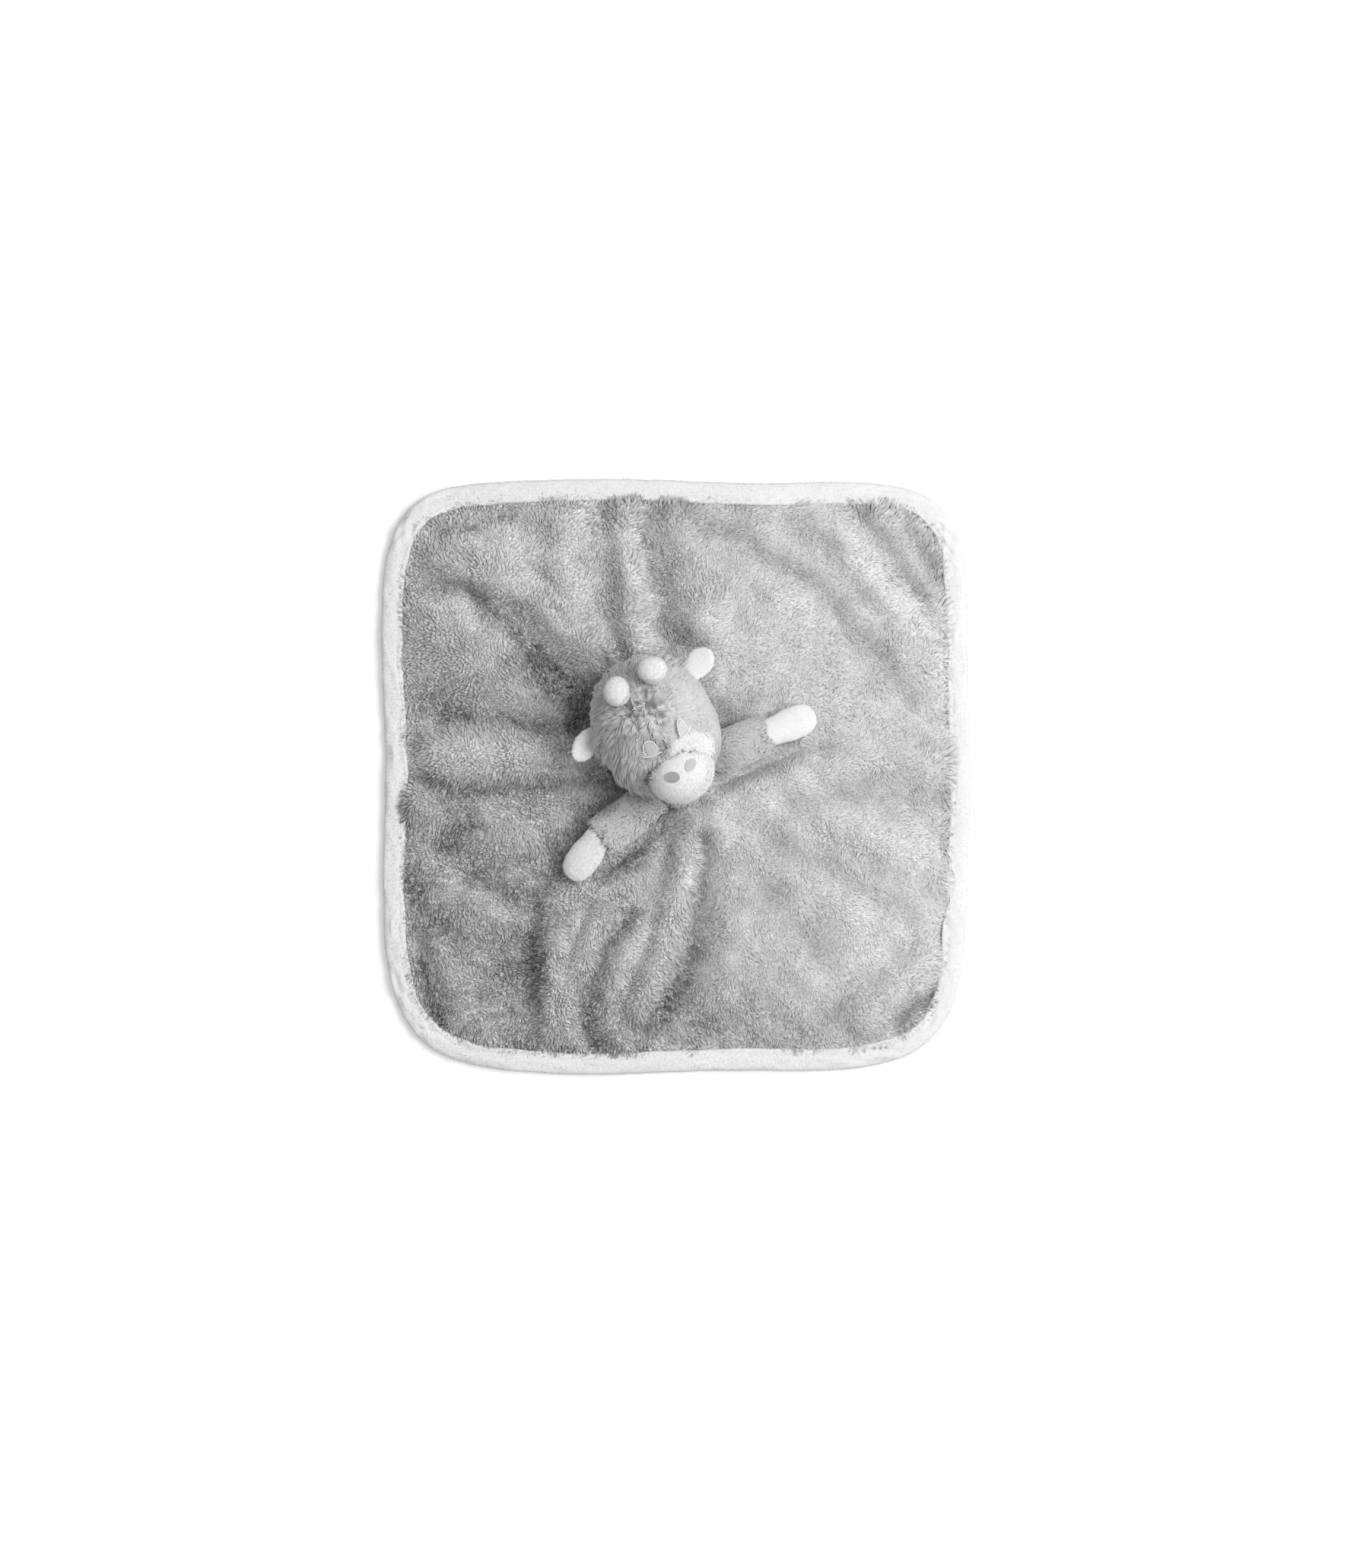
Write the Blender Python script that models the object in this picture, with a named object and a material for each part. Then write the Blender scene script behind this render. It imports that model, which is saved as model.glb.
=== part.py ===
"""Comfort blanket lovey: a square plush blanket with a bound edge, and a small horned animal's head
with two arms sewn to its middle. The toy lies face up. Metres, +Z up, origin at the bottom centre."""

import math

import bmesh
import bpy
from mathutils import Matrix, Vector
from mathutils.geometry import tessellate_polygon

# Clearances between pieces that touch
SEAM_GAP = 0.0003
RUNNING_GAP = 0.0004
STUFFING_GAP = 0.0006
REST_GAP = 0.0010
WRIST_GAP = 0.0008
HEAD_SWING_GAP = 0.0032

# Blanket
BLANKET_WIDTH = 0.3495
BLANKET_LENGTH = 0.3527
EDGE_WAVE_SHARE = 0.005
UPPER_CORNER_POWER = 6.9
LOWER_CORNER_POWER = 5.6
EDGE_POINTS = 64
CORNER_POINT_SPACING = 0.040
BACKING_THICKNESS = 0.0012
PILE_PANEL_THICKNESS = 0.0042
FLANGE_THICKNESS = 0.0010
PILE_SHOULDER_WIDTH = 0.0045
BINDING_FRONT_WIDTH = 0.0130
BINDING_BACK_WIDTH = 0.0110
BINDING_LEG_THICKNESS = 0.0012
BINDING_CROWN = 0.0022
BINDING_FOLD_DEPTH = 0.0026
FLANGE_INSET = BINDING_FOLD_DEPTH + RUNNING_GAP

# Folds of the pile panel, which run out from the neck: routes as shares of half the width and length
FOLD_HEIGHT = 0.0105
FOLD_WIDTH = 0.0100
FOLD_ROUTE_SHARES = (
    ((-0.24, 0.075), (-0.54, 0.096), (-0.82, 0.085), 0.80, 0.95),
    ((-0.24, 0.006), (-0.54, 0.028), (-0.82, 0.017), 0.72, 0.85),
    ((-0.30, -0.15), (-0.57, -0.16), (-0.90, -0.09), 0.45, 1.20),
    ((-0.27, 0.36), (-0.50, 0.60), (-0.80, 0.71), 0.75, 1.00),
    ((-0.41, 0.19), (-0.65, 0.34), (-0.86, 0.47), 0.50, 1.40),
    ((-0.14, 0.44), (-0.165, 0.66), (-0.17, 0.90), 0.65, 0.90),
    ((-0.35, 0.56), (-0.39, 0.70), (-0.36, 0.86), 0.40, 1.10),
    ((0.12, 0.46), (0.04, 0.68), (0.00, 0.90), 0.50, 1.20),
    ((0.42, 0.88), (0.64, 0.68), (0.86, 0.40), 0.50, 0.80),
    ((0.69, 0.88), (0.79, 0.74), (0.90, 0.52), 0.40, 0.60),
    ((0.16, 0.38), (0.39, 0.50), (0.75, 0.42), 0.30, 1.80),
    ((0.15, -0.06), (0.38, 0.00), (0.90, 0.05), 0.65, 1.30),
    ((0.15, -0.12), (0.49, -0.20), (0.88, -0.29), 0.30, 1.40),
    ((0.035, -0.15), (0.01, -0.38), (-0.13, -0.78), 0.70, 0.90),
    ((0.14, -0.17), (0.18, -0.42), (0.15, -0.76), 0.60, 1.20),
    ((-0.12, -0.25), (-0.37, -0.42), (-0.42, -0.84), 0.75, 0.80),
    ((-0.24, -0.46), (-0.35, -0.66), (-0.38, -0.87), 0.50, 0.85),
    ((-0.13, -0.50), (-0.22, -0.72), (-0.19, -0.89), 0.50, 0.85),
    ((-0.86, -0.27), (-0.73, -0.36), (-0.60, -0.47), 0.35, 0.90),
    ((-0.81, -0.56), (-0.76, -0.70), (-0.71, -0.82), 0.45, 0.80),
    ((0.63, -0.83), (0.76, -0.69), (0.86, -0.60), 0.40, 0.80),
    ((0.28, -0.25), (0.49, -0.41), (0.67, -0.69), 0.30, 1.60),
)
FOLD_ROUTE_STEPS = 10
FOLD_RING_SHARES = (0.10, 0.22, 0.34, 0.46, 0.58, 0.70, 0.81, 0.91)
UNDER_RING_STEP = 3
BED_SLOPE_SHARE = 0.80
BED_MARGIN = 0.0050

# Head, with its own axes: X to its left-hand ear in the view, Y to the crown, Z out of the face
HEAD_HALF_WIDTH = 0.0345
HEAD_HALF_LENGTH = 0.0415
HEAD_HALF_DEPTH = 0.0330
HEAD_SQUARENESS = 2.35
HEAD_TURN_DEG = 33.0
HEAD_X = -0.0110
HEAD_Y = 0.0303
COVER_THICKNESS = 0.0014
HEAD_SIDES = 28
HEAD_RINGS = 7

# Neck, which is a ball in the blanket's middle and a short tube up into the head
NECK_X = 0.0011
NECK_Y = -0.0082
NECK_BALL_RADIUS = 0.0080
NECK_TUBE_RADIUS = 0.0062
NECK_IN_HEAD = 0.0055
NECK_SIDES = 16
NECK_THREAD_RADIUS = 0.0004

# Muzzle, placed from the head's middle
MUZZLE_HALF_WIDTH = 0.0195
MUZZLE_HALF_LENGTH = 0.0175
MUZZLE_HALF_DEPTH = 0.0180
MUZZLE_X = -0.0033
MUZZLE_Y = -0.0305
MUZZLE_Z = 0.0170
MUZZLE_SIDES = 24
MUZZLE_RINGS = 10

# Embroidery
THREAD_HEIGHT = 0.0005
PAD_RING_SHARES = (0.0, 0.5, 1.0)
NOSTRIL_LENGTH = 0.0088
NOSTRIL_WIDTH = 0.0062
NOSTRIL_Y = -0.0294
NOSTRIL_SPREAD = 0.0065
NOSTRIL_MIDDLE_X = -0.0030
NOSTRIL_TILT_DEG = 28.0
EYE_WIDTH = 0.0080
EYE_HEIGHT = 0.0078
EYE_SPREAD = 0.0117
EYE_Y = -0.0125
EYE_ARCH_POWER = 2.5
EYE_BASE_SHARES = (-0.25, 0.0, 0.25)
EYE_THREAD_WIDTH = 0.0008
LASH_LENGTH = 0.0040
LASH_WIDTH = 0.0007
LASH_ANGLES_DEG = (18.0, 42.0, 66.0)
EYE_TILTS_DEG = {"left": -4.0, "right": 16.0}

# Ears
EAR_LENGTH = 0.0170
EAR_WIDTH = 0.0155
EAR_PANEL_THICKNESS = 0.0015
EAR_CURL = 0.0030
EAR_STATION_SHARES = ((0.0, 0.70), (0.18, 0.86), (0.42, 1.0), (0.66, 0.92), (0.84, 0.66), (0.95, 0.34))
EAR_BASE_Y = {"left": 0.0143, "right": 0.0152}
EAR_ANGLES_DEG = {"left": 189.0, "right": 16.0}

# Horns
HORN_LENGTH = 0.0170
HORN_BALL_RADIUS = 0.0078
HORN_STEM_RADIUS = 0.0052
HORN_SIDES = 14
HORN_PLACES = {"left": (-0.0080, 0.0245), "right": (0.0123, 0.0240)}

# Arms
SLEEVE_LENGTH = 0.0405
SLEEVE_HALF_WIDTH = 0.0125
SLEEVE_HALF_HEIGHT = 0.0100
ARM_SIDES = 16
SLEEVE_STATION_SHARES = (
    (0.0, 0.80, 0.28),
    (0.13, 0.92, 0.42),
    (0.32, 1.0, 0.78),
    (0.60, 1.0, 0.98),
    (0.85, 0.99, 1.0),
    (0.96, 0.96, 0.97),
)
SLEEVE_ROOT_ROUND = 0.0010
SLEEVE_CUFF_ROUND = 0.0012
ARM_ANGLES_DEG = {"left": 213.7, "right": 22.3}
CUFF_PLACES = {"left": (-0.0442, -0.0352), "right": (0.0532, 0.0252)}
WRIST_BALL_RADIUS = 0.0078
WRIST_OUT = 0.0020
WRIST_HOLE_RADIUS = 0.0042
HAND_LENGTH = 0.0290
HAND_HALF_WIDTH = 0.0092
HAND_HALF_HEIGHT = 0.0080
HAND_STATION_SHARES = (
    (0.16, 0.86, 0.94),
    (0.40, 1.0, 1.0),
    (0.68, 0.97, 0.97),
    (0.86, 0.80, 0.80),
    (0.96, 0.50, 0.50),
)
HAND_ANGLES_DEG = {"left": 233.7, "right": 22.0}

# Heights that follow from the sizes above
FLANGE_BOTTOM = BINDING_LEG_THICKNESS + SEAM_GAP
PANEL_FLANGE_BOTTOM = FLANGE_BOTTOM + FLANGE_THICKNESS + SEAM_GAP
BINDING_FRONT_BOTTOM = PANEL_FLANGE_BOTTOM + FLANGE_THICKNESS + SEAM_GAP
BINDING_TOP = BINDING_FRONT_BOTTOM + BINDING_CROWN
PILE_TOP = BACKING_THICKNESS + SEAM_GAP + PILE_PANEL_THICKNESS
ARM_BED = PILE_TOP + SEAM_GAP
NECK_Z = BACKING_THICKNESS + SEAM_GAP + NECK_BALL_RADIUS
HEAD_Z = PILE_TOP + HEAD_SWING_GAP + HEAD_HALF_DEPTH
WRIST_Z = ARM_BED + SLEEVE_HALF_HEIGHT

# Surface colours
GREY_PLUSH = (0.42, 0.42, 0.42)
WHITE_PLUSH = (0.86, 0.86, 0.86)
WADDING = (0.93, 0.93, 0.91)
GREY_THREAD = (0.30, 0.30, 0.30)
WHITE_THREAD = (0.92, 0.92, 0.92)

materials = {}


def clear_scene():
    """Removes what an open file already holds."""
    for old in list(bpy.data.objects):
        bpy.data.objects.remove(old, do_unlink=True)


def material(name, colour):
    """One Principled material for each named finish."""
    if name not in materials:
        made = bpy.data.materials.new(name)
        made.use_nodes = True
        shader = made.node_tree.nodes["Principled BSDF"]
        shader.inputs["Base Color"].default_value = (*colour, 1.0)
        shader.inputs["Roughness"].default_value = 0.95
        shader.inputs["Metallic"].default_value = 0.0
        materials[name] = made
    return materials[name]


def guide(name, place, turn=None):
    """An empty on a joint's axis, which carries the pieces that move there."""
    empty = bpy.data.objects.new(name, None)
    empty.matrix_world = Matrix.Translation(place) @ (turn.to_4x4() if turn else Matrix())
    bpy.context.collection.objects.link(empty)
    return empty


def solid(name, points, faces, finish, carrier=None):
    """An object from points and faces, with its faces turned outwards and round parts shaded smooth."""
    mesh = bpy.data.meshes.new(name)
    built = bmesh.new()
    corners = [built.verts.new(point) for point in points]
    for face in faces:
        built.faces.new([corners[index] for index in face])
    bmesh.ops.recalc_face_normals(built, faces=built.faces)
    built.to_mesh(mesh)
    built.free()
    mesh.shade_smooth()
    mesh.set_sharp_from_angle(angle=math.radians(50))
    mesh.materials.append(material(*finish))
    made = bpy.data.objects.new(name, mesh)
    made.parent = carrier
    bpy.context.collection.objects.link(made)
    return made


def lofted(name, rings, finish, carrier=None, joined=False):
    """A closed skin over a row of rings. A ring of one point is a pole, and joined closes the row on itself."""
    points, starts = [], []
    for ring in rings:
        starts.append(len(points))
        points.extend(ring)
    pairs = list(zip(range(len(rings)), range(1, len(rings))))
    if joined:
        pairs.append((len(rings) - 1, 0))
    faces = []
    for low, high in pairs:
        count = max(len(rings[low]), len(rings[high]))
        for side in range(count):
            after = (side + 1) % count
            if len(rings[low]) == 1:
                faces.append((starts[low], starts[high] + side, starts[high] + after))
            elif len(rings[high]) == 1:
                faces.append((starts[low] + side, starts[high], starts[low] + after))
            else:
                faces.append(
                    (starts[low] + side, starts[high] + side, starts[high] + after, starts[low] + after)
                )
    if not joined:
        for end in (0, len(rings) - 1):
            if len(rings[end]) > 1:
                faces.append(tuple(starts[end] + side for side in range(len(rings[end]))))
    return solid(name, points, faces, finish, carrier)


def cut(piece, cutter, keep=False):
    """Cuts a piece by a hidden cutter."""
    cutter.hide_render = True
    cutter.display_type = "WIRE"
    step = piece.modifiers.new("cut", "BOOLEAN")
    step.operation = "INTERSECT" if keep else "DIFFERENCE"
    step.solver = "EXACT"
    step.object = cutter


def circle(centre, radius, across, upward, sides):
    """Points of a circle, which may be squashed: radius is a number or a pair."""
    wide, high = radius if isinstance(radius, tuple) else (radius, radius)
    return [
        centre
        + across * (wide * math.cos(2 * math.pi * side / sides))
        + upward * (high * math.sin(2 * math.pi * side / sides))
        for side in range(sides)
    ]


def level_direction(angle_deg):
    """A level unit vector, counted from +X."""
    return Vector((math.cos(math.radians(angle_deg)), math.sin(math.radians(angle_deg)), 0.0))


# The blanket's outline and its folds


def outline_point(angle):
    """Where a unit blanket's edge lies in a direction: a square with soft corners and wavy sides."""
    across, along = math.cos(angle), math.sin(angle)
    power = UPPER_CORNER_POWER if along > 0 else LOWER_CORNER_POWER
    reach = (abs(across) ** power + abs(along) ** power) ** (-1 / power)
    reach += EDGE_WAVE_SHARE * (math.sin(3 * angle + 0.9) + math.sin(7 * angle + 2.0))
    return Vector((across * reach, along * reach, 0.0))


def blanket_outline():
    """The edge as evenly spaced points round the origin, at its full size, with their outward directions."""
    fine_count = EDGE_POINTS * 24
    fine = [outline_point(2 * math.pi * step / fine_count) for step in range(fine_count)]
    low = Vector((min(point.x for point in fine), min(point.y for point in fine), 0.0))
    high = Vector((max(point.x for point in fine), max(point.y for point in fine), 0.0))
    scale = Vector((BLANKET_WIDTH / (high.x - low.x), BLANKET_LENGTH / (high.y - low.y), 0.0))
    fine = [(point - (low + high) / 2) * scale for point in fine]
    lengths = [0.0]
    for step, place in enumerate(fine):
        run = fine[(step + 1) % fine_count] - place
        turning = run.angle(place - fine[step - 1])
        lengths.append(lengths[-1] + run.length + turning * CORNER_POINT_SPACING)
    places, walked = [], 0
    for step in range(EDGE_POINTS):
        wanted = lengths[-1] * step / EDGE_POINTS
        while lengths[walked + 1] < wanted:
            walked += 1
        share = (wanted - lengths[walked]) / (lengths[walked + 1] - lengths[walked])
        places.append(fine[walked].lerp(fine[(walked + 1) % fine_count], share))
    outwards = []
    for step, place in enumerate(places):
        run = places[(step + 1) % EDGE_POINTS] - places[step - 1]
        outwards.append(Vector((run.y, -run.x, 0.0)).normalized())
    return places, outwards


def curve_points(start, middle, end):
    """Points along a smooth bend through three places."""
    handle = middle * 2 - (start + end) / 2
    steps = [step / FOLD_ROUTE_STEPS for step in range(FOLD_ROUTE_STEPS + 1)]
    return [start * (1 - t) ** 2 + handle * (2 * t * (1 - t)) + end * t**2 for t in steps]


def fold_routes():
    """Each fold's route in metres, its height and its width."""
    halves = Vector((BLANKET_WIDTH, BLANKET_LENGTH)) / 2
    made = []
    for start, middle, end, height_share, width_share in FOLD_ROUTE_SHARES:
        ends = [Vector(shares) * halves for shares in (start, middle, end)]
        made.append((curve_points(*ends), FOLD_HEIGHT * height_share, FOLD_WIDTH * width_share))
    return made


def distance_to_run(place, start, end):
    """How far a place is from a straight run."""
    run = end - start
    share = max(0.0, min(1.0, (place - start).dot(run) / run.length_squared))
    return (place - start - run * share).length


def fold_height(place, routes):
    """How far the folds lift the cloth at a place. Folds that meet share the lift."""
    total = 0.0
    for route, height, width in routes:
        gap = min(distance_to_run(place, start, end) for start, end in zip(route, route[1:]))
        total += (height * math.exp(-((gap / width) ** 2))) ** 2
    return math.sqrt(total)


def head_underside(place):
    """The height of the head's underside over a place, or nothing beside the head."""
    turn = math.radians(HEAD_TURN_DEG)
    across = place.x - HEAD_X
    along = place.y - HEAD_Y
    own_x = across * math.cos(turn) + along * math.sin(turn)
    own_y = along * math.cos(turn) - across * math.sin(turn)
    power = HEAD_SQUARENESS
    filled = (abs(own_x) / HEAD_HALF_WIDTH) ** power + (abs(own_y) / HEAD_HALF_LENGTH) ** power
    if filled >= 1.0:
        return None
    return HEAD_Z - HEAD_HALF_DEPTH * (1.0 - filled) ** (1 / power)


def arm_line(side):
    """Where an arm lies, seen from above: its root, its wrist and its hand's tip."""
    cuff = Vector(CUFF_PLACES[side])
    sleeve_run = level_direction(ARM_ANGLES_DEG[side]).to_2d()
    hand_run = level_direction(HAND_ANGLES_DEG[side]).to_2d()
    wrist = cuff + sleeve_run * WRIST_OUT
    return cuff - sleeve_run * SLEEVE_LENGTH, wrist, wrist + hand_run * HAND_LENGTH


def pile_height(place, routes, arms):
    """The top of the pile: its folds, pressed down by the head and the arms that lie on it."""
    height = PILE_TOP + fold_height(place, routes)
    under = head_underside(place)
    if under is not None:
        height = min(height, max(PILE_TOP, under - REST_GAP * 2))
    for root, wrist, tip in arms:
        gap = min(distance_to_run(place, root, wrist), distance_to_run(place, wrist, tip))
        beside = max(0.0, gap - SLEEVE_HALF_WIDTH - BED_MARGIN)
        height = min(height, PILE_TOP + beside * BED_SLOPE_SHARE)
    neck_gap = (place - Vector((NECK_X, NECK_Y))).length - NECK_BALL_RADIUS - BED_MARGIN
    return min(height, PILE_TOP + max(0.0, neck_gap) * BED_SLOPE_SHARE)


def lowered_ring(rings, step):
    """A ring of the panel's underside, a cloth's thickness below the lowest of the rings beside it."""
    beside = rings[max(0, step - UNDER_RING_STEP) : step + UNDER_RING_STEP + 1]
    made = []
    for spoke, place in enumerate(rings[step]):
        lowest = min(ring[spoke].z for ring in beside)
        made.append(Vector((place.x, place.y, lowest - PILE_PANEL_THICKNESS)))
    return made


def build_blanket():
    """The pile panel with its folds, the backing panel and the folded binding round both."""
    places, outwards = blanket_outline()
    neck = Vector((NECK_X, NECK_Y, 0.0))
    routes = fold_routes()
    arms = [arm_line(side) for side in ("left", "right")]

    def edge_ring(inset, height):
        return [
            Vector((*(place - outward * inset).to_2d(), height))
            for place, outward in zip(places, outwards)
        ]

    pile_edge = BINDING_FRONT_WIDTH + SEAM_GAP
    folded_edge = edge_ring(pile_edge + PILE_SHOULDER_WIDTH, PILE_TOP)
    top = []
    hole_radius = NECK_BALL_RADIUS + RUNNING_GAP
    for share in (0.0, *FOLD_RING_SHARES):
        ring = []
        for edge in folded_edge:
            level = (edge - neck).to_2d()
            from_hole = level.normalized() * hole_radius
            spot = neck.to_2d() + from_hole + (level - from_hole) * share
            ring.append(Vector((*spot, pile_height(spot, routes, arms))))
        top.append(ring)
    top.append(folded_edge)
    under = [lowered_ring(top, step) for step in range(0, len(top), UNDER_RING_STEP)]
    flange_top = PANEL_FLANGE_BOTTOM + FLANGE_THICKNESS
    top.append(edge_ring(pile_edge + SEAM_GAP, BINDING_TOP - SEAM_GAP))
    top.append(edge_ring(pile_edge, flange_top))
    top.append(edge_ring(FLANGE_INSET, flange_top))
    under.append(edge_ring(pile_edge, PANEL_FLANGE_BOTTOM))
    under.append(edge_ring(FLANGE_INSET, PANEL_FLANGE_BOTTOM))
    lofted("blanket_pile_panel", top + under[::-1], ("grey_plush", GREY_PLUSH), joined=True)

    step_out = pile_edge + PILE_SHOULDER_WIDTH - SEAM_GAP
    backing = [
        [Vector((0, 0, BACKING_THICKNESS))],
        edge_ring(step_out, BACKING_THICKNESS),
        edge_ring(pile_edge, FLANGE_BOTTOM + FLANGE_THICKNESS),
        edge_ring(FLANGE_INSET, FLANGE_BOTTOM + FLANGE_THICKNESS),
        edge_ring(FLANGE_INSET, FLANGE_BOTTOM),
        edge_ring(BINDING_BACK_WIDTH + SEAM_GAP, FLANGE_BOTTOM),
        edge_ring(step_out, 0.0),
        [Vector((0, 0, 0))],
    ]
    lofted("blanket_backing_panel", backing, ("white_plush", WHITE_PLUSH))

    rounding = BINDING_FOLD_DEPTH / 2
    section = (
        (BINDING_BACK_WIDTH, 0.0),
        (rounding, 0.0),
        (0.0, rounding),
        (0.0, BINDING_FRONT_BOTTOM),
        (rounding, BINDING_TOP - BINDING_CROWN / 4),
        (BINDING_FRONT_WIDTH / 3, BINDING_TOP),
        (BINDING_FRONT_WIDTH - rounding, BINDING_TOP - BINDING_CROWN / 5),
        (BINDING_FRONT_WIDTH, BINDING_TOP - BINDING_CROWN / 2),
        (BINDING_FRONT_WIDTH - SEAM_GAP, BINDING_FRONT_BOTTOM),
        (BINDING_FOLD_DEPTH, BINDING_FRONT_BOTTOM),
        (BINDING_FOLD_DEPTH, BINDING_LEG_THICKNESS),
        (BINDING_BACK_WIDTH, BINDING_LEG_THICKNESS),
    )
    rings = [edge_ring(inset, height) for inset, height in section]
    lofted("blanket_binding", rings, ("white_plush", WHITE_PLUSH), joined=True)


# The head


def head_point(direction, shrink):
    """Where the head's surface, drawn in by shrink, lies in a direction from its middle."""
    halves = (HEAD_HALF_WIDTH - shrink, HEAD_HALF_LENGTH - shrink, HEAD_HALF_DEPTH - shrink)
    total = sum((abs(part) / half) ** HEAD_SQUARENESS for part, half in zip(direction, halves))
    return Vector(direction) * total ** (-1 / HEAD_SQUARENESS)


def head_surface(across, along):
    """The point and the outward direction of the face at a place on it."""
    power = HEAD_SQUARENESS
    filled = (abs(across) / HEAD_HALF_WIDTH) ** power + (abs(along) / HEAD_HALF_LENGTH) ** power
    height = HEAD_HALF_DEPTH * (1.0 - filled) ** (1 / power)
    slope = Vector(
        (
            math.copysign((abs(across) / HEAD_HALF_WIDTH) ** (power - 1) / HEAD_HALF_WIDTH, across),
            math.copysign((abs(along) / HEAD_HALF_LENGTH) ** (power - 1) / HEAD_HALF_LENGTH, along),
            (height / HEAD_HALF_DEPTH) ** (power - 1) / HEAD_HALF_DEPTH,
        )
    )
    return Vector((across, along, height)), slope.normalized()


def muzzle_surface(across, along):
    """The point and the outward direction of the muzzle at a place on the face."""
    own_x = (across - MUZZLE_X) / MUZZLE_HALF_WIDTH
    own_y = (along - MUZZLE_Y) / MUZZLE_HALF_LENGTH
    rise = math.sqrt(1.0 - own_x**2 - own_y**2)
    slope = Vector((own_x / MUZZLE_HALF_WIDTH, own_y / MUZZLE_HALF_LENGTH, rise / MUZZLE_HALF_DEPTH))
    return Vector((across, along, MUZZLE_Z + MUZZLE_HALF_DEPTH * rise)), slope.normalized()


def head_rings(shrink, face_side, lift, rings=HEAD_RINGS):
    """Rings of half a head, from its front or back pole to the seam at ear height."""
    made = [[head_point((0, 0, face_side), shrink) + Vector((0, 0, lift))]]
    for step in range(1, rings + 1):
        fall = math.pi / 2 * step / rings
        ring = []
        for side in range(HEAD_SIDES):
            around = 2 * math.pi * side / HEAD_SIDES
            direction = (
                math.sin(fall) * math.cos(around),
                math.sin(fall) * math.sin(around),
                face_side * math.cos(fall) if step < rings else 0.0,
            )
            ring.append(head_point(direction, shrink) + Vector((0, 0, lift)))
        made.append(ring)
    return made


def egg_rings(middle, halves, sides, rings):
    """Rings of an egg shape from its top pole to its bottom pole."""
    made = []
    for step in range(rings + 1):
        fall = math.pi * step / rings
        height = middle + Vector((0, 0, halves[2] * math.cos(fall)))
        if step in (0, rings):
            made.append([height])
        else:
            across, along = Vector((1, 0, 0)), Vector((0, 1, 0))
            size = (halves[0] * math.sin(fall), halves[1] * math.sin(fall))
            made.append(circle(height, size, across, along, sides))
    return made


def thread_places(places, surface):
    """The under and upper points of thread laid on a curved surface at places of a flat drawing."""
    low, high = [], []
    for place in places:
        point, outward = surface(*place)
        low.append(point + outward * SEAM_GAP)
        high.append(point + outward * (SEAM_GAP + THREAD_HEIGHT))
    return low, high


def filled_embroidery(name, outline, surface, finish, carrier):
    """Satin stitching that fills an outline, which is worked in rings so that it follows the surface."""
    middle = Vector((sum(place[0] for place in outline), sum(place[1] for place in outline))) / len(outline)
    under, upper = [], []
    for share in PAD_RING_SHARES:
        places = [middle.lerp(Vector(place), share) for place in outline] if share else [middle]
        low, high = thread_places(places, surface)
        under.append(low)
        upper.append(high)
    return lofted(name, under + upper[::-1], finish, carrier)


def outlined_embroidery(name, loops, surface, finish, carrier):
    """A narrow line of stitching: a flat drawing with a hole in it, laid on a curved surface."""
    drawn = [[Vector((*place, 0.0)) for place in loop] for loop in loops]
    flat = [place for loop in loops for place in loop]
    triangles = tessellate_polygon(drawn)
    low, high = thread_places(flat, surface)
    count = len(flat)
    faces = [tuple(index + count for index in triangle) for triangle in triangles]
    faces += [tuple(reversed(triangle)) for triangle in triangles]
    first = 0
    for loop in loops:
        for step in range(len(loop)):
            start, end = first + step, first + (step + 1) % len(loop)
            faces.append((start, end, end + count, start + count))
        first += len(loop)
    return solid(name, low + high, faces, finish, carrier)


def placed(points, middle, tilt_deg, mirror=1.0):
    """A flat drawing turned, mirrored if need be, and moved to its place on the face."""
    cos, sin = math.cos(math.radians(tilt_deg)), math.sin(math.radians(tilt_deg))
    made = []
    for across, along in points:
        across *= mirror
        made.append((middle[0] + across * cos - along * sin, middle[1] + across * sin + along * cos))
    return made


def arch(width, height, steps=12):
    """The outline of a closed eyelid, flat below and round above, from its outer corner over the top."""
    made = []
    for step in range(steps + 1):
        angle = math.pi * step / steps
        across = math.copysign(abs(math.cos(angle)) ** (2 / EYE_ARCH_POWER), math.cos(angle))
        along = max(0.0, math.sin(angle)) ** (2 / EYE_ARCH_POWER)
        made.append((width / 2 * across, height * along))
    made += [(width * share, 0.0) for share in EYE_BASE_SHARES]
    return made


def lash_points():
    """Three lashes that fan out from the eye's outer corner, as a saw-toothed run of points."""
    made = []
    corner = (EYE_WIDTH / 2, 0.0)
    for step, angle in enumerate(LASH_ANGLES_DEG):
        for turn, reach in ((-4.0, LASH_LENGTH), (4.0, LASH_LENGTH), (12.0, LASH_WIDTH * 2)):
            if step == len(LASH_ANGLES_DEG) - 1 and reach < LASH_LENGTH:
                continue
            way = math.radians(angle + turn)
            made.append((corner[0] + reach * math.cos(way), corner[1] + reach * math.sin(way)))
    return made


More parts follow.
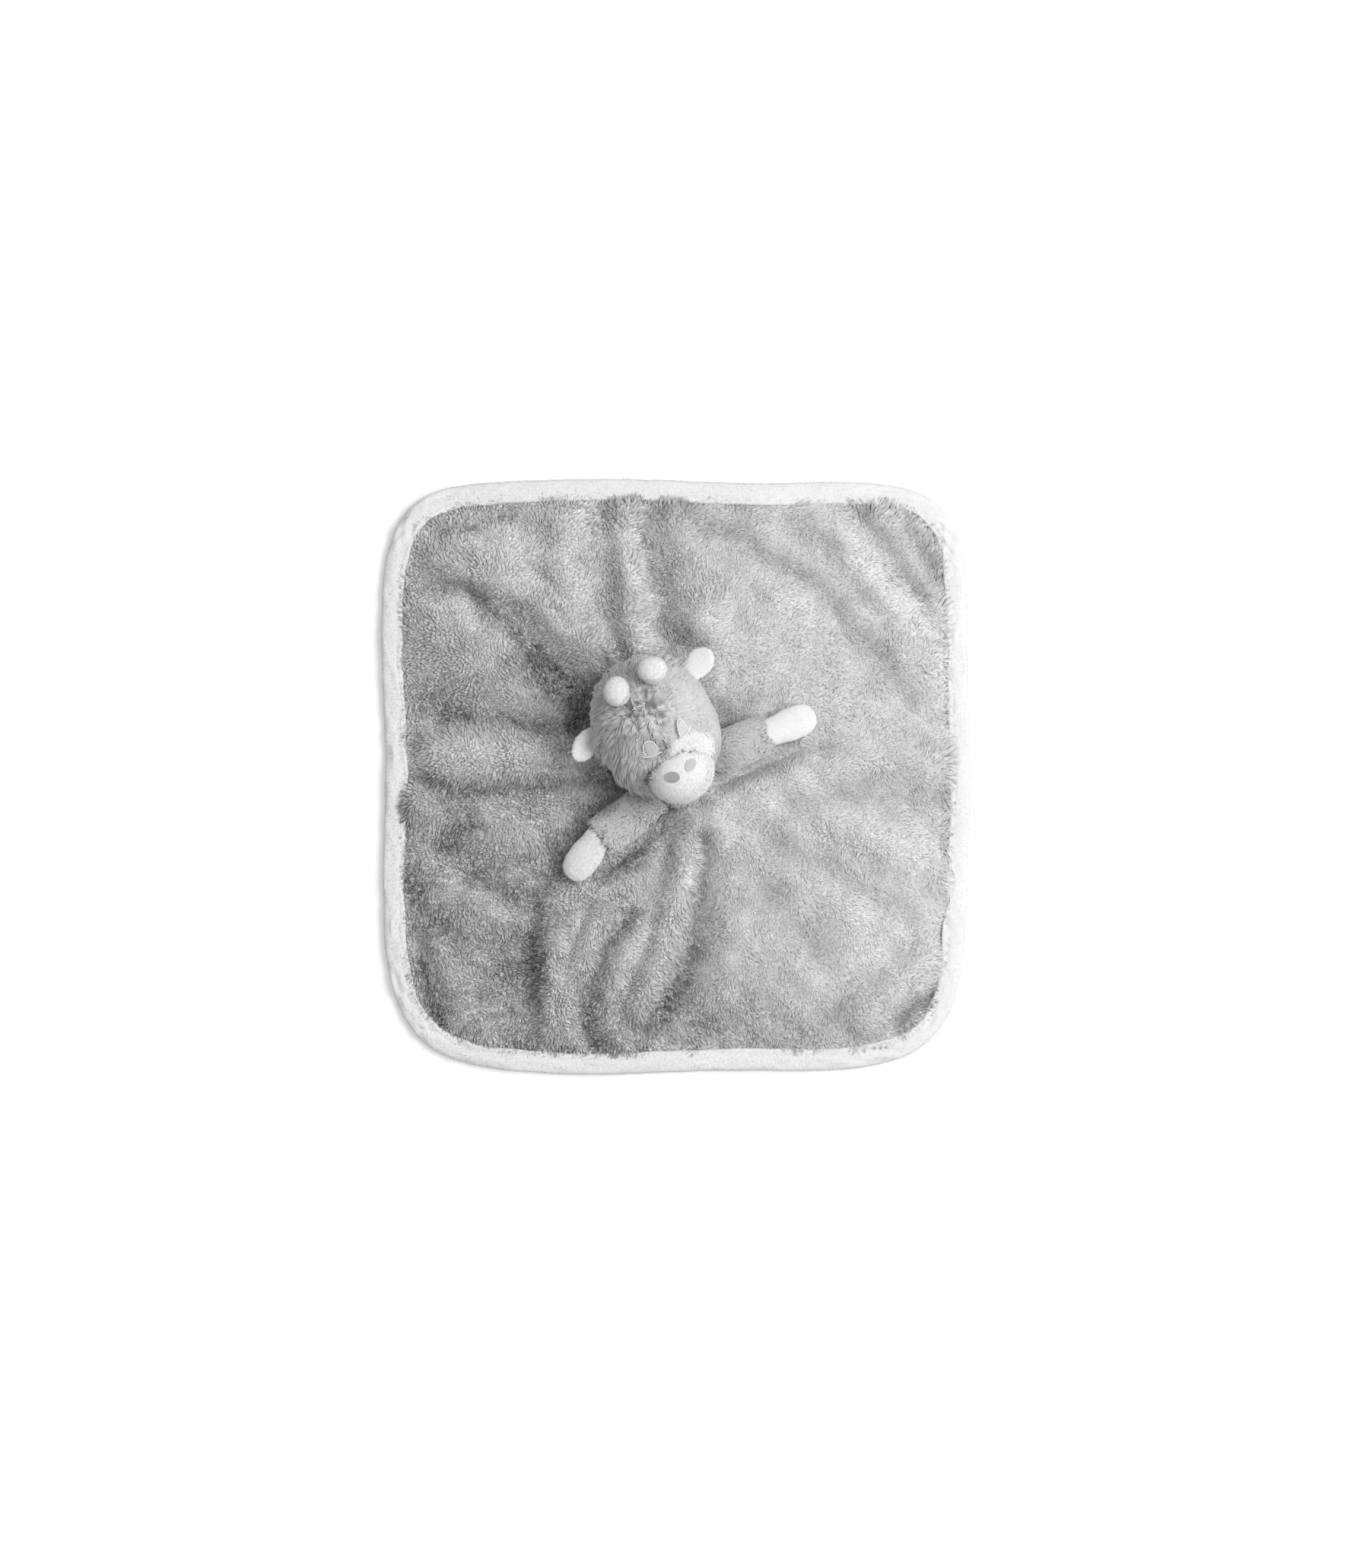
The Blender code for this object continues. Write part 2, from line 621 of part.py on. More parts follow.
def ear_panel(name, carrier, face_side, lean):
    """One of an ear's two panels, from its rounded root along the carrier's X axis to its leaning tip."""
    root = EAR_PANEL_THICKNESS + SEAM_GAP / 2
    stations = [(-root * 0.94, EAR_STATION_SHARES[0][1], 0.25), (-root * 0.6, EAR_STATION_SHARES[0][1], 0.78)]
    stations += [(share * EAR_LENGTH, width, 1.0) for share, width in EAR_STATION_SHARES]
    rings = []
    for along, width_share, thickness_share in stations:
        curl = EAR_CURL * (max(0.0, along) / EAR_LENGTH) ** 2
        inner = face_side * SEAM_GAP / 2
        outer = face_side * (SEAM_GAP / 2 + EAR_PANEL_THICKNESS * thickness_share)
        half = EAR_WIDTH / 2 * width_share
        sway = lean * max(0.0, along)
        rings.append(
            [
                Vector((along, sway + across * half, curl + height))
                for across, height in (
                    (-1.0, inner),
                    (-0.5, inner),
                    (0.5, inner),
                    (1.0, inner),
                    (0.9, (inner + outer) / 2),
                    (0.45, outer),
                    (-0.45, outer),
                    (-0.9, (inner + outer) / 2),
                )
            ]
        )
    tip_height = EAR_CURL + face_side * (SEAM_GAP + EAR_PANEL_THICKNESS) / 2
    tip = Vector((EAR_LENGTH, lean * EAR_LENGTH, tip_height))
    rings.append([tip])
    return lofted(name, rings, ("white_plush", WHITE_PLUSH), carrier)


def horn_rings(shrink, base, sides=HORN_SIDES):
    """Rings of a knob from its base to its round end, drawn in by shrink."""
    ball = HORN_BALL_RADIUS - shrink
    stem = HORN_STEM_RADIUS - shrink
    ball_height = HORN_LENGTH - HORN_BALL_RADIUS
    across, along = Vector((1, 0, 0)), Vector((0, 1, 0))
    stem_top = ball_height - math.sqrt(ball**2 - stem**2)
    rings = [circle(Vector((0, 0, height)), stem, across, along, sides) for height in (base, stem_top)]
    start = math.asin(stem / ball)
    for step in range(1, 5):
        fall = math.pi - start - (math.pi - start) * step / 5
        centre = Vector((0, 0, ball_height + ball * math.cos(fall)))
        rings.append(circle(centre, ball * math.sin(fall), across, along, sides))
    rings.append([Vector((0, 0, ball_height + ball))])
    return rings


def upright(direction):
    """A turn that stands Z along a direction, with X level."""
    z_axis = direction.normalized()
    x_axis = Vector((0, 1, 0)).cross(z_axis).normalized()
    y_axis = z_axis.cross(x_axis)
    return Matrix((x_axis, y_axis, z_axis)).transposed()


def build_horn(side, head):
    """A stuffed knob that stands on the head's surface."""
    point, outward = head_surface(*HORN_PLACES[side])
    place = head.matrix_world @ (point + outward * SEAM_GAP)
    horn = guide(f"horn_{side}_base", place, head.matrix_world.to_3x3() @ upright(outward))
    wall = COVER_THICKNESS
    outer = horn_rings(0.0, 0.0)
    inner = horn_rings(wall, 0.0)
    lofted(f"horn_{side}_cover", outer[::-1] + inner, ("white_plush", WHITE_PLUSH), horn)
    filling = horn_rings(wall + SEAM_GAP, 0.0)
    lofted(f"horn_{side}_stuffing", filling, ("wadding", WADDING), horn)


def build_ear(side, head):
    """An ear of two panels, hinged where it is caught in the seam between the head's front and back."""
    facing = 1.0 if side == "right" else -1.0
    along = EAR_BASE_Y[side]
    filled = (along / HEAD_HALF_LENGTH) ** HEAD_SQUARENESS
    across = facing * HEAD_HALF_WIDTH * (1.0 - filled) ** (1 / HEAD_SQUARENESS)
    root = EAR_PANEL_THICKNESS + SEAM_GAP * 2
    slope = Vector(
        (
            facing * (abs(across) / HEAD_HALF_WIDTH) ** (HEAD_SQUARENESS - 1) / HEAD_HALF_WIDTH,
            (along / HEAD_HALF_LENGTH) ** (HEAD_SQUARENESS - 1) / HEAD_HALF_LENGTH,
            0.0,
        )
    ).normalized()
    place = head.matrix_world @ (Vector((across, along, 0.0)) + slope * root)
    outward_angle = math.atan2(slope.y, slope.x)
    lean = math.tan(math.radians(EAR_ANGLES_DEG[side]) - outward_angle)
    turn = head.matrix_world.to_3x3() @ Matrix.Rotation(outward_angle, 3, "Z")
    ear = guide(f"ear_{side}_hinge", place, turn)
    ear_panel(f"ear_{side}_front", ear, 1.0, lean)
    ear_panel(f"ear_{side}_back", ear, -1.0, lean)


def build_head():
    """Front and back covers, the stuffing, the muzzle, the embroidery, the ears and the horns."""
    head_turn = Matrix.Rotation(math.radians(HEAD_TURN_DEG), 3, "Z")
    head = guide("head_middle", Vector((HEAD_X, HEAD_Y, HEAD_Z)), head_turn)
    grey, white, wadding = ("grey_plush", GREY_PLUSH), ("white_plush", WHITE_PLUSH), ("wadding", WADDING)
    half_gap = SEAM_GAP / 2

    front = head_rings(0.0, 1.0, half_gap) + head_rings(COVER_THICKNESS, 1.0, half_gap)[::-1]
    lofted("head_front_cover", front, grey, head)
    back = head_rings(0.0, -1.0, -half_gap) + head_rings(COVER_THICKNESS, -1.0, -half_gap)[::-1]
    back_cover = lofted("head_back_cover", back, grey, head)
    inside = COVER_THICKNESS + SEAM_GAP
    filling = head_rings(inside, 1.0, 0.0, 6) + head_rings(inside, -1.0, 0.0, 6)[-2::-1]
    stuffing = lofted("head_stuffing", filling, wadding, head)

    neck = neck_frame()
    opening = NECK_TUBE_RADIUS + RUNNING_GAP
    reach = neck_length() + RUNNING_GAP
    across, along = Vector((1, 0, 0)), Vector((0, 1, 0))
    ends = [circle(Vector((0, 0, height)), opening, across, along, NECK_SIDES) for height in (0.0, reach)]
    neck_cutter = lofted("neck_cutter", ends, grey, neck)
    cut(back_cover, neck_cutter)
    cut(stuffing, neck_cutter)

    clear = -SEAM_GAP
    whole = head_rings(clear, 1.0, 0.0) + head_rings(clear, -1.0, 0.0)[-2::-1]
    head_cutter = lofted("head_cutter", whole, grey, head)
    middle = Vector((MUZZLE_X, MUZZLE_Y, MUZZLE_Z))
    halves = (MUZZLE_HALF_WIDTH, MUZZLE_HALF_LENGTH, MUZZLE_HALF_DEPTH)
    muzzle = lofted("muzzle_cover", egg_rings(middle, halves, MUZZLE_SIDES, MUZZLE_RINGS), white, head)
    hollow_halves = [half - COVER_THICKNESS for half in halves]
    hollow = egg_rings(middle, hollow_halves, MUZZLE_SIDES, MUZZLE_RINGS)
    cut(muzzle, lofted("muzzle_hollow_cutter", hollow, white, head))
    cut(muzzle, head_cutter)
    filling_halves = [half - inside for half in halves]
    filling = egg_rings(middle, filling_halves, MUZZLE_SIDES, MUZZLE_RINGS)
    muzzle_stuffing = lofted("muzzle_stuffing", filling, wadding, head)
    cut(muzzle_stuffing, head_cutter)

    for side, facing in (("left", -1.0), ("right", 1.0)):
        steps = [2 * math.pi * step / 14 for step in range(14)]
        oval = [(NOSTRIL_LENGTH / 2 * math.cos(a), NOSTRIL_WIDTH / 2 * math.sin(a)) for a in steps]
        place = (NOSTRIL_MIDDLE_X + facing * NOSTRIL_SPREAD, NOSTRIL_Y)
        loop = placed(oval, place, facing * NOSTRIL_TILT_DEG)
        grey_thread = ("grey_thread", GREY_THREAD)
        filled_embroidery(f"nostril_{side}", loop, muzzle_surface, grey_thread, head)

        place = (facing * EYE_SPREAD, EYE_Y)
        tilt = EYE_TILTS_DEG[side]
        thread = EYE_THREAD_WIDTH
        outer = arch(EYE_WIDTH, EYE_HEIGHT)
        inner = [
            (across, along + thread)
            for across, along in arch(EYE_WIDTH - thread * 2, EYE_HEIGHT - thread * 2)
        ]
        lid_trim = thread + SEAM_GAP
        lid = [
            (across, along + lid_trim)
            for across, along in arch(EYE_WIDTH - lid_trim * 2, EYE_HEIGHT - lid_trim * 2)
        ]
        ring = lash_points() + outer[1:]
        loops = [placed(ring, place, tilt, facing), placed(inner[::-1], place, tilt, facing)]
        white_thread = ("white_thread", WHITE_THREAD)
        outlined_embroidery(f"eye_{side}_outline", loops, head_surface, white_thread, head)
        loop = placed(lid, place, tilt, facing)
        filled_embroidery(f"eye_{side}_lid", loop, head_surface, grey_thread, head)

        build_ear(side, head)
        build_horn(side, head)


# The neck


def neck_direction():
    """From the neck's ball to the head's middle."""
    return Vector((HEAD_X - NECK_X, HEAD_Y - NECK_Y, HEAD_Z - NECK_Z))


def neck_length():
    """How far the neck's tube reaches from the ball's middle: past the head's surface."""
    way = neck_direction()
    own = Matrix.Rotation(math.radians(-HEAD_TURN_DEG), 3, "Z") @ way.normalized()
    return way.length - head_point(-own, 0.0).length + NECK_IN_HEAD


def neck_frame():
    """The empty on the nod's axis, with Z up the neck and X along the axis."""
    existing = bpy.data.objects.get("neck_nod_axis")
    if existing:
        return existing
    z_axis = neck_direction().normalized()
    x_axis = z_axis.cross(Vector((0, 0, 1))).normalized()
    turn = Matrix((x_axis, z_axis.cross(x_axis), z_axis)).transposed()
    return guide("neck_nod_axis", Vector((NECK_X, NECK_Y, NECK_Z)), turn)


def neck_rings(shrink, top):
    """Rings from the ball's bottom pole, over its shoulder and up the tube."""
    ball = NECK_BALL_RADIUS - shrink
    tube = NECK_TUBE_RADIUS - shrink
    across, along = Vector((1, 0, 0)), Vector((0, 1, 0))
    rings = [[Vector((0, 0, -ball))]]
    end = math.pi - math.asin(tube / ball)
    for step in range(1, 7):
        rise = end * step / 6
        centre = Vector((0, 0, -ball * math.cos(rise)))
        rings.append(circle(centre, ball * math.sin(rise), across, along, NECK_SIDES))
    rings.append(circle(Vector((0, 0, top)), tube, across, along, NECK_SIDES))
    return rings


def build_neck():
    """The neck's cover, its stuffing, and the drawn thread that closes the gather under the head."""
    neck = neck_frame()
    length = neck_length()
    outer = neck_rings(0.0, length)
    inner = neck_rings(COVER_THICKNESS, length)
    lofted("neck_cover", outer + inner[::-1], ("grey_plush", GREY_PLUSH), neck)
    filling = neck_rings(COVER_THICKNESS + SEAM_GAP, length)
    lofted("neck_stuffing", filling, ("wadding", WADDING), neck)
    thread_ring = NECK_TUBE_RADIUS + SEAM_GAP + NECK_THREAD_RADIUS
    height = NECK_BALL_RADIUS * 1.06
    rings = []
    for step in range(6):
        angle = 2 * math.pi * step / 6
        centre = Vector((0, 0, height + NECK_THREAD_RADIUS * math.sin(angle)))
        radius = thread_ring + NECK_THREAD_RADIUS * math.cos(angle)
        rings.append(circle(centre, radius, Vector((1, 0, 0)), Vector((0, 1, 0)), 24))
    lofted("neck_thread", rings, ("white_thread", WHITE_THREAD), neck, joined=True)


# The arms


def sleeve_rings(shrink):
    """Rings of a sleeve from near its root to near its cuff. Its underside lies flat on the blanket."""
    rings = []
    for share, width_share, height_share in SLEEVE_STATION_SHARES:
        height = SLEEVE_HALF_HEIGHT * height_share
        centre = Vector((share * SLEEVE_LENGTH, 0.0, ARM_BED + height))
        size = (SLEEVE_HALF_WIDTH * width_share - shrink, height - shrink)
        rings.append(circle(centre, size, Vector((0, 1, 0)), Vector((0, 0, 1)), ARM_SIDES))
    return rings


def cup_ring(radius, hole):
    """A ring of the wrist's socket, where a ball of this radius meets a hole of that radius."""
    along = SLEEVE_LENGTH + WRIST_OUT - math.sqrt(radius**2 - hole**2)
    centre = Vector((along, 0.0, WRIST_Z))
    return circle(centre, hole, Vector((0, 1, 0)), Vector((0, 0, 1)), ARM_SIDES)


def build_sleeve(side, arm):
    """A sleeve's cover, flat at its sewn root and open at its cuff, and the stuffing in it."""
    root_height = ARM_BED + SLEEVE_HALF_HEIGHT * SLEEVE_STATION_SHARES[0][2]
    across, upward = Vector((0, 1, 0)), Vector((0, 0, 1))
    socket = WRIST_BALL_RADIUS + WRIST_GAP
    wall = COVER_THICKNESS
    cuff = Vector((SLEEVE_LENGTH, 0.0, WRIST_Z))
    cuff_size = (SLEEVE_HALF_WIDTH - SLEEVE_CUFF_ROUND, SLEEVE_HALF_HEIGHT - SLEEVE_CUFF_ROUND / 2)
    mouth = math.sqrt(socket**2 - WRIST_OUT**2)
    rings = [[Vector((-SLEEVE_ROOT_ROUND, 0.0, root_height))]]
    rings += sleeve_rings(0.0)
    rings.append(circle(cuff, cuff_size, across, upward, ARM_SIDES))
    rings.append(circle(cuff, mouth, across, upward, ARM_SIDES))
    rings.append(cup_ring(socket, (mouth + WRIST_HOLE_RADIUS) / 2))
    rings.append(cup_ring(socket, WRIST_HOLE_RADIUS))
    rings.append(cup_ring(socket + wall, WRIST_HOLE_RADIUS))
    rings.append(cup_ring(socket + wall, mouth - wall / 4))
    inner = sleeve_rings(wall)
    rings += inner[-2:0:-1]
    rings.append([Vector((SLEEVE_STATION_SHARES[1][0] * SLEEVE_LENGTH / 3, 0.0, root_height + wall / 4))])
    lofted(f"sleeve_{side}_cover", rings, ("grey_plush", GREY_PLUSH), arm)

    inside = wall + STUFFING_GAP
    filling = [[Vector((SLEEVE_STATION_SHARES[1][0] * SLEEVE_LENGTH / 2, 0.0, root_height + wall / 2))]]
    filling += sleeve_rings(inside)[1:-1]
    filling.append(cup_ring(socket + inside, mouth - inside))
    filling.append(cup_ring(socket + inside, WRIST_HOLE_RADIUS))
    filling.append([Vector((SLEEVE_LENGTH + WRIST_OUT - socket - inside, 0.0, WRIST_Z))])
    lofted(f"sleeve_{side}_stuffing", filling, ("wadding", WADDING), arm)


def hand_rings(shrink, hole):
    """Rings of a hand from the hole in its wrist ball to its tip, along the carrier's X axis."""
    ball = WRIST_BALL_RADIUS - shrink
    across, upward = Vector((0, 1, 0)), Vector((0, 0, 1))
    rings = []
    start = math.asin(hole / ball) if hole else 0.0
    for step in range(4):
        rise = start + (math.pi / 2 - start) * step / 3
        if rise == 0.0:
            rings.append([Vector((-ball, 0, 0))])
            continue
        centre = Vector((-ball * math.cos(rise), 0, 0))
        rings.append(circle(centre, ball * math.sin(rise), across, upward, ARM_SIDES))
    for share, width_share, height_share in HAND_STATION_SHARES:
        size = (HAND_HALF_WIDTH * width_share - shrink, HAND_HALF_HEIGHT * height_share - shrink)
        centre = Vector((share * (HAND_LENGTH - shrink), 0, 0))
        rings.append(circle(centre, size, across, upward, ARM_SIDES))
    rings.append([Vector((HAND_LENGTH - shrink, 0, 0))])
    return rings


def build_hand(side, hand):
    """A hand's cover, open where it joins the sleeve, and the stuffing in it."""
    outer = hand_rings(0.0, WRIST_HOLE_RADIUS)
    inner = hand_rings(COVER_THICKNESS, WRIST_HOLE_RADIUS)
    lofted(f"hand_{side}_cover", outer[::-1] + inner, ("white_plush", WHITE_PLUSH), hand)
    filling = hand_rings(COVER_THICKNESS + SEAM_GAP, 0.0)
    lofted(f"hand_{side}_stuffing", filling, ("wadding", WADDING), hand)


def build_arm(side):
    """An arm's sleeve and hand, each carried on its own joint's axis."""
    root, wrist, _ = arm_line(side)
    turn = Matrix.Rotation(math.radians(ARM_ANGLES_DEG[side]), 3, "Z")
    arm = guide(f"arm_{side}_raise_axis", Vector((*root, 0.0)), turn)
    build_sleeve(side, arm)
    drop = math.asin((SLEEVE_HALF_HEIGHT - HAND_HALF_HEIGHT) / HAND_LENGTH)
    turn = Matrix.Rotation(math.radians(HAND_ANGLES_DEG[side]), 3, "Z") @ Matrix.Rotation(drop, 3, "Y")
    hand = guide(f"hand_{side}_bend_axis", Vector((*wrist, WRIST_Z)), turn)
    build_hand(side, hand)


def build():
    """Builds every piece of the lovey."""
    clear_scene()
    build_blanket()
    build_neck()
    build_head()
    for side in ("left", "right"):
        build_arm(side)
    bpy.context.view_layer.update()


build()
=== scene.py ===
"""Dresses the comfort blanket lovey: its pile, padded head and arms, bound edge, embroidery and studio."""

from __future__ import annotations

import logging
import math
from dataclasses import dataclass, field, replace
from enum import Enum
from typing import Callable

import bmesh
import bpy
import numpy as np
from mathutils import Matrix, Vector


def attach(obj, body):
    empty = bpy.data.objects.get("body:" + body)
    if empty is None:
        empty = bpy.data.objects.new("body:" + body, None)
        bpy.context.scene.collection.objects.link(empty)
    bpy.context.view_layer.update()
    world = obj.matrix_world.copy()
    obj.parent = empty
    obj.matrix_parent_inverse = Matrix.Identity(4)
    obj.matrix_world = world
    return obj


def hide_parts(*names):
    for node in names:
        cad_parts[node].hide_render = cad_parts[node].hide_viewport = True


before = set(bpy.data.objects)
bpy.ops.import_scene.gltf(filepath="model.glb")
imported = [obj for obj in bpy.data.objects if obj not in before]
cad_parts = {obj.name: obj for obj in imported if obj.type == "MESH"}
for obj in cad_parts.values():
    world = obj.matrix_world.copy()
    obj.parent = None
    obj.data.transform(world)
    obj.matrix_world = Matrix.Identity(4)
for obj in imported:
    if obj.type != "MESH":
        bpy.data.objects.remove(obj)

LOG = logging.getLogger("lovey")
MM = 0.001
TABLE_GAP = 0.0002
UP = np.array([0.0, 0.0, 1.0])
Piece = bpy.types.Object
Tree = bpy.types.NodeTree
Socket = bpy.types.NodeSocket
Material = bpy.types.Material
Rows = np.ndarray
Plan = tuple[float, float]
Place = tuple[float, float, float]
Route = tuple[Plan, ...]
Field = Callable[[Rows], Rows]
Comb = Callable[[Rows, Rows], Rows]


class Side(Enum):
    """The toy's two sides, as they are seen in the photograph."""

    LEFT = "left"
    RIGHT = "right"

    def seed(self, start: int) -> int:
        """Gives each side a seed of its own."""
        return start + len(self.value)


class Body(Enum):
    """The moving bodies that pieces ride on."""

    BLANKET = "blanket"
    NECK = "neck"
    HEAD = "head"


def unit(vectors: Rows) -> Rows:
    """Scales each row to length one."""
    return vectors / np.maximum(np.linalg.norm(vectors, axis=-1, keepdims=True), 1e-12)


def smooth_step(low: float, high: float, values: Rows) -> Rows:
    """Eases values from zero at low to one at high."""
    share = np.clip((values - low) / (high - low), 0.0, 1.0)
    return share * share * (3.0 - 2.0 * share)


def bell(gap: Rows, width: float) -> Rows:
    """Gives one where there is no gap, and less the wider the gap is."""
    return np.exp(-((gap / width) ** 2))


def away_from(places: Rows, spot: Plan | Place | Rows) -> Rows:
    """Gives how far each place is from a spot."""
    return np.linalg.norm(places - np.array(spot), axis=1)


def everywhere(places: Rows) -> Rows:
    """Gives one at each place."""
    return np.ones(len(places))


def turned(across: Rows, along: Rows, degrees: float) -> tuple[Rows, Rows]:
    """Turns plan coordinates anticlockwise.

    Args:
        across: The first coordinates.
        along: The second coordinates.
        degrees: By how much.

    Returns:
        The turned first and second coordinates.
    """
    cos, sin = math.cos(math.radians(degrees)), math.sin(math.radians(degrees))
    return across * cos - along * sin, across * sin + along * cos


def route_gap(plan: Rows, route: Rows | Route) -> Rows:
    """Gives how far places are from a bent line.

    Args:
        plan: Rows of two coordinates.
        route: The line's points.

    Returns:
        One distance for each row.
    """
    nearest = np.full(len(plan), np.inf)
    knots = np.array(route)
    for start, end in zip(knots, knots[1:]):
        run = end - start
        share = np.clip(((plan - start) @ run) / (run @ run), 0.0, 1.0)
        nearest = np.minimum(nearest, np.linalg.norm(plan - start - share[:, None] * run, axis=1))
    return nearest


@dataclass(frozen=True)
class Ripple:
    """Smooth seeded unevenness made of sine waves of about one wavelength."""

    wavelength: float
    seed: int
    waves: int = 14

    def __call__(self, points: Rows) -> Rows:
        """Gives the unevenness at points.

        Args:
            points: Rows of three coordinates.

        Returns:
            One number for each row, mostly between -1 and 1.
        """
        rng = np.random.default_rng(self.seed)
        ways = unit(rng.normal(size=(self.waves, 3)))
        turns = 2 * math.pi / (self.wavelength * rng.uniform(0.7, 1.5, self.waves))
        starts = rng.uniform(0, 2 * math.pi, self.waves)
        total = np.zeros(len(points))
        for way, turn, start in zip(ways, turns, starts):
            total += np.sin(points @ way * turn + start)
        return total / math.sqrt(self.waves / 2)


# Meshes


def linked(name: str, data: bpy.types.ID) -> Piece:
    """Makes an object and links it to the scene.

    Args:
        name: The object's name.
        data: What it holds: a mesh, a lamp or a camera.

    Returns:
        The object.
    """
    made = bpy.data.objects.new(name, data)
    bpy.context.collection.objects.link(made)
    return made


def mesh_object(name: str, points: Rows, faces: Rows) -> Piece:
    """Makes a smooth object from arrays, with faces that all have the same number of corners.

    Args:
        name: The object's name.
        points: Rows of three coordinates.
        faces: Rows of corner numbers.

    Returns:
        The new object, linked to the scene.
    """
    mesh = bpy.data.meshes.new(name)
    mesh.vertices.add(len(points))
    mesh.vertices.foreach_set("co", np.asarray(points, np.float32).ravel())
    mesh.loops.add(faces.size)
    mesh.loops.foreach_set("vertex_index", np.asarray(faces, np.int32).ravel())
    mesh.polygons.add(len(faces))
    mesh.polygons.foreach_set("loop_start", np.arange(len(faces), dtype=np.int32) * faces.shape[1])
    mesh.update(calc_edges=True)
    mesh.shade_smooth()
    return linked(name, mesh)


def ring_faces(rings: int, points: int, closed: bool = False, flipped: bool = False) -> Rows:
    """Joins rings of points by four-sided faces.

    Args:
        rings: How many rings there are.
        points: How many points each has.
        closed: Whether the last ring joins the first.
        flipped: Whether the faces look the other way.

    Returns:
        Rows of four corner numbers.
    """
    ring = np.arange(rings if closed else rings - 1)[:, None]
    point = np.arange(points)[None]
    start, after = ring * points, (ring + 1) % rings * points
    following = (point + 1) % points
    corners = [start + point, after + point, after + following, start + following]
    if flipped:
        corners = [corners[0], *corners[:0:-1]]
    return np.stack(corners, axis=-1).reshape(-1, 4)


def halved(quads: Rows) -> Rows:
    """Cuts four-sided faces into triangles."""
    return quads[:, [0, 1, 2, 0, 2, 3]].reshape(-1, 3)


def vertex_rows(piece: Piece, what: str) -> Rows:
    """Reads a mesh object's vertices.

    Args:
        piece: The mesh object.
        what: Their places, co, or their normals, normal.

    Returns:
        Rows of three numbers.
    """
    rows = np.empty(len(piece.data.vertices) * 3, np.float32)
    piece.data.vertices.foreach_get(what, rows)
    return rows.reshape(-1, 3)


def vertex_places(piece: Piece) -> Rows:
    """Gives the places of a mesh object's vertices."""
    return vertex_rows(piece, "co").astype(float)


def move_vertices(piece: Piece, places: Rows) -> None:
    """Puts a mesh object's vertices at new places."""
    piece.data.vertices.foreach_set("co", np.asarray(places, np.float32).ravel())
    piece.data.update()


def apply_modifier(piece: Piece, kind: str, **settings: float | str) -> None:
    """Applies an object's modifier, which is added first where it has none of that kind.

    Args:
        piece: The mesh object.
        kind: The modifier's type.
        settings: The modifier's settings.
    """
    modifier = piece.modifiers.get(kind) or piece.modifiers.new(kind, kind)
    for name, value in settings.items():
        setattr(modifier, name, value)
    bpy.ops.object.select_all(action="DESELECT")
    piece.select_set(True)
    bpy.context.view_layer.objects.active = piece
    bpy.ops.object.modifier_apply(modifier=kind)


# Finishes


def grey(level: float) -> tuple[float, float, float, float]:
    """Gives a grey as a colour."""
    return (level, level, level, 1.0)


def plug(node: bpy.types.Node, inputs: dict[str | int, float | tuple | Socket]) -> None:
    """Sets a node's sockets, or links them where another node's output is given.

    Args:
        node: The node.
        inputs: A value or an output for each socket.
    """
    for name, value in inputs.items():
        if isinstance(value, Socket):
            node.id_data.links.new(value, node.inputs[name])
        else:
            node.inputs[name].default_value = value


def add_node(tree: Tree, kind: str, output: str, inputs: dict, **settings: str) -> Socket:
    """Adds a shader node.

    Args:
        tree: The material's or the world's nodes.
        kind: The node's type.
        output: The output that is wanted.
        inputs: A value or another node's output for each socket.
        settings: The node's own settings.

    Returns:
        The output.
    """
    node = tree.nodes.new(f"ShaderNode{kind}")
    for name, value in settings.items():
        setattr(node, name, value)
    plug(node, inputs)
    return node.outputs[output]


def blank_material(name: str) -> tuple[Material, bpy.types.Node, Tree]:
    """Starts a node material.

    Args:
        name: The material's name.

    Returns:
        The material, its Principled shader and its nodes.
    """
    made = bpy.data.materials.new(name)
    made.use_nodes = True
    return made, made.node_tree.nodes["Principled BSDF"], made.node_tree


def noise(tree: Tree, scale: float, detail: float) -> Socket:
    """Adds a noise texture on Object coordinates, with scale grains in a metre."""
    place = add_node(tree, "TexCoord", "Object", {})
    return add_node(tree, "TexNoise", "Fac", {"Vector": place, "Scale": scale, "Detail": detail})


def ramp(tree: Tree, share: Socket, low: float, high: float, start: float = 0.0, end: float = 1.0) -> Socket:
    """Turns a share into a grey.

    Args:
        tree: The material's nodes.
        share: The share.
        low: The grey at the start.
        high: The grey at the end.
        start: The share where the rise starts.
        end: The share where it ends.

    Returns:
        The colour.
    """
    colour = add_node(tree, "ValToRGB", "Color", {"Fac": share})
    for stop, place, level in zip(colour.node.color_ramp.elements, (start, end), (low, high)):
        stop.position = place
        stop.color = grey(level)
    return colour


@dataclass(frozen=True)
class Finish:
    """What a piece is covered with, and its slot in the record."""

    name: str
    slot: str

    def dress(self, piece: Piece, material: Material, body: str, *nodes: str, fill: float = 0.0) -> None:
        """Gives a piece its material and ties it to the frame.

        Args:
            piece: The piece.
            material: One of the finish's materials.
            body: The body that the piece rides on.
            nodes: The part's nodes that it replaces.
            fill: How full a padded piece is, or 0; not used.
        """
        piece.data.materials.append(material)
        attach(piece, body)
        if nodes:
            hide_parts(*nodes)


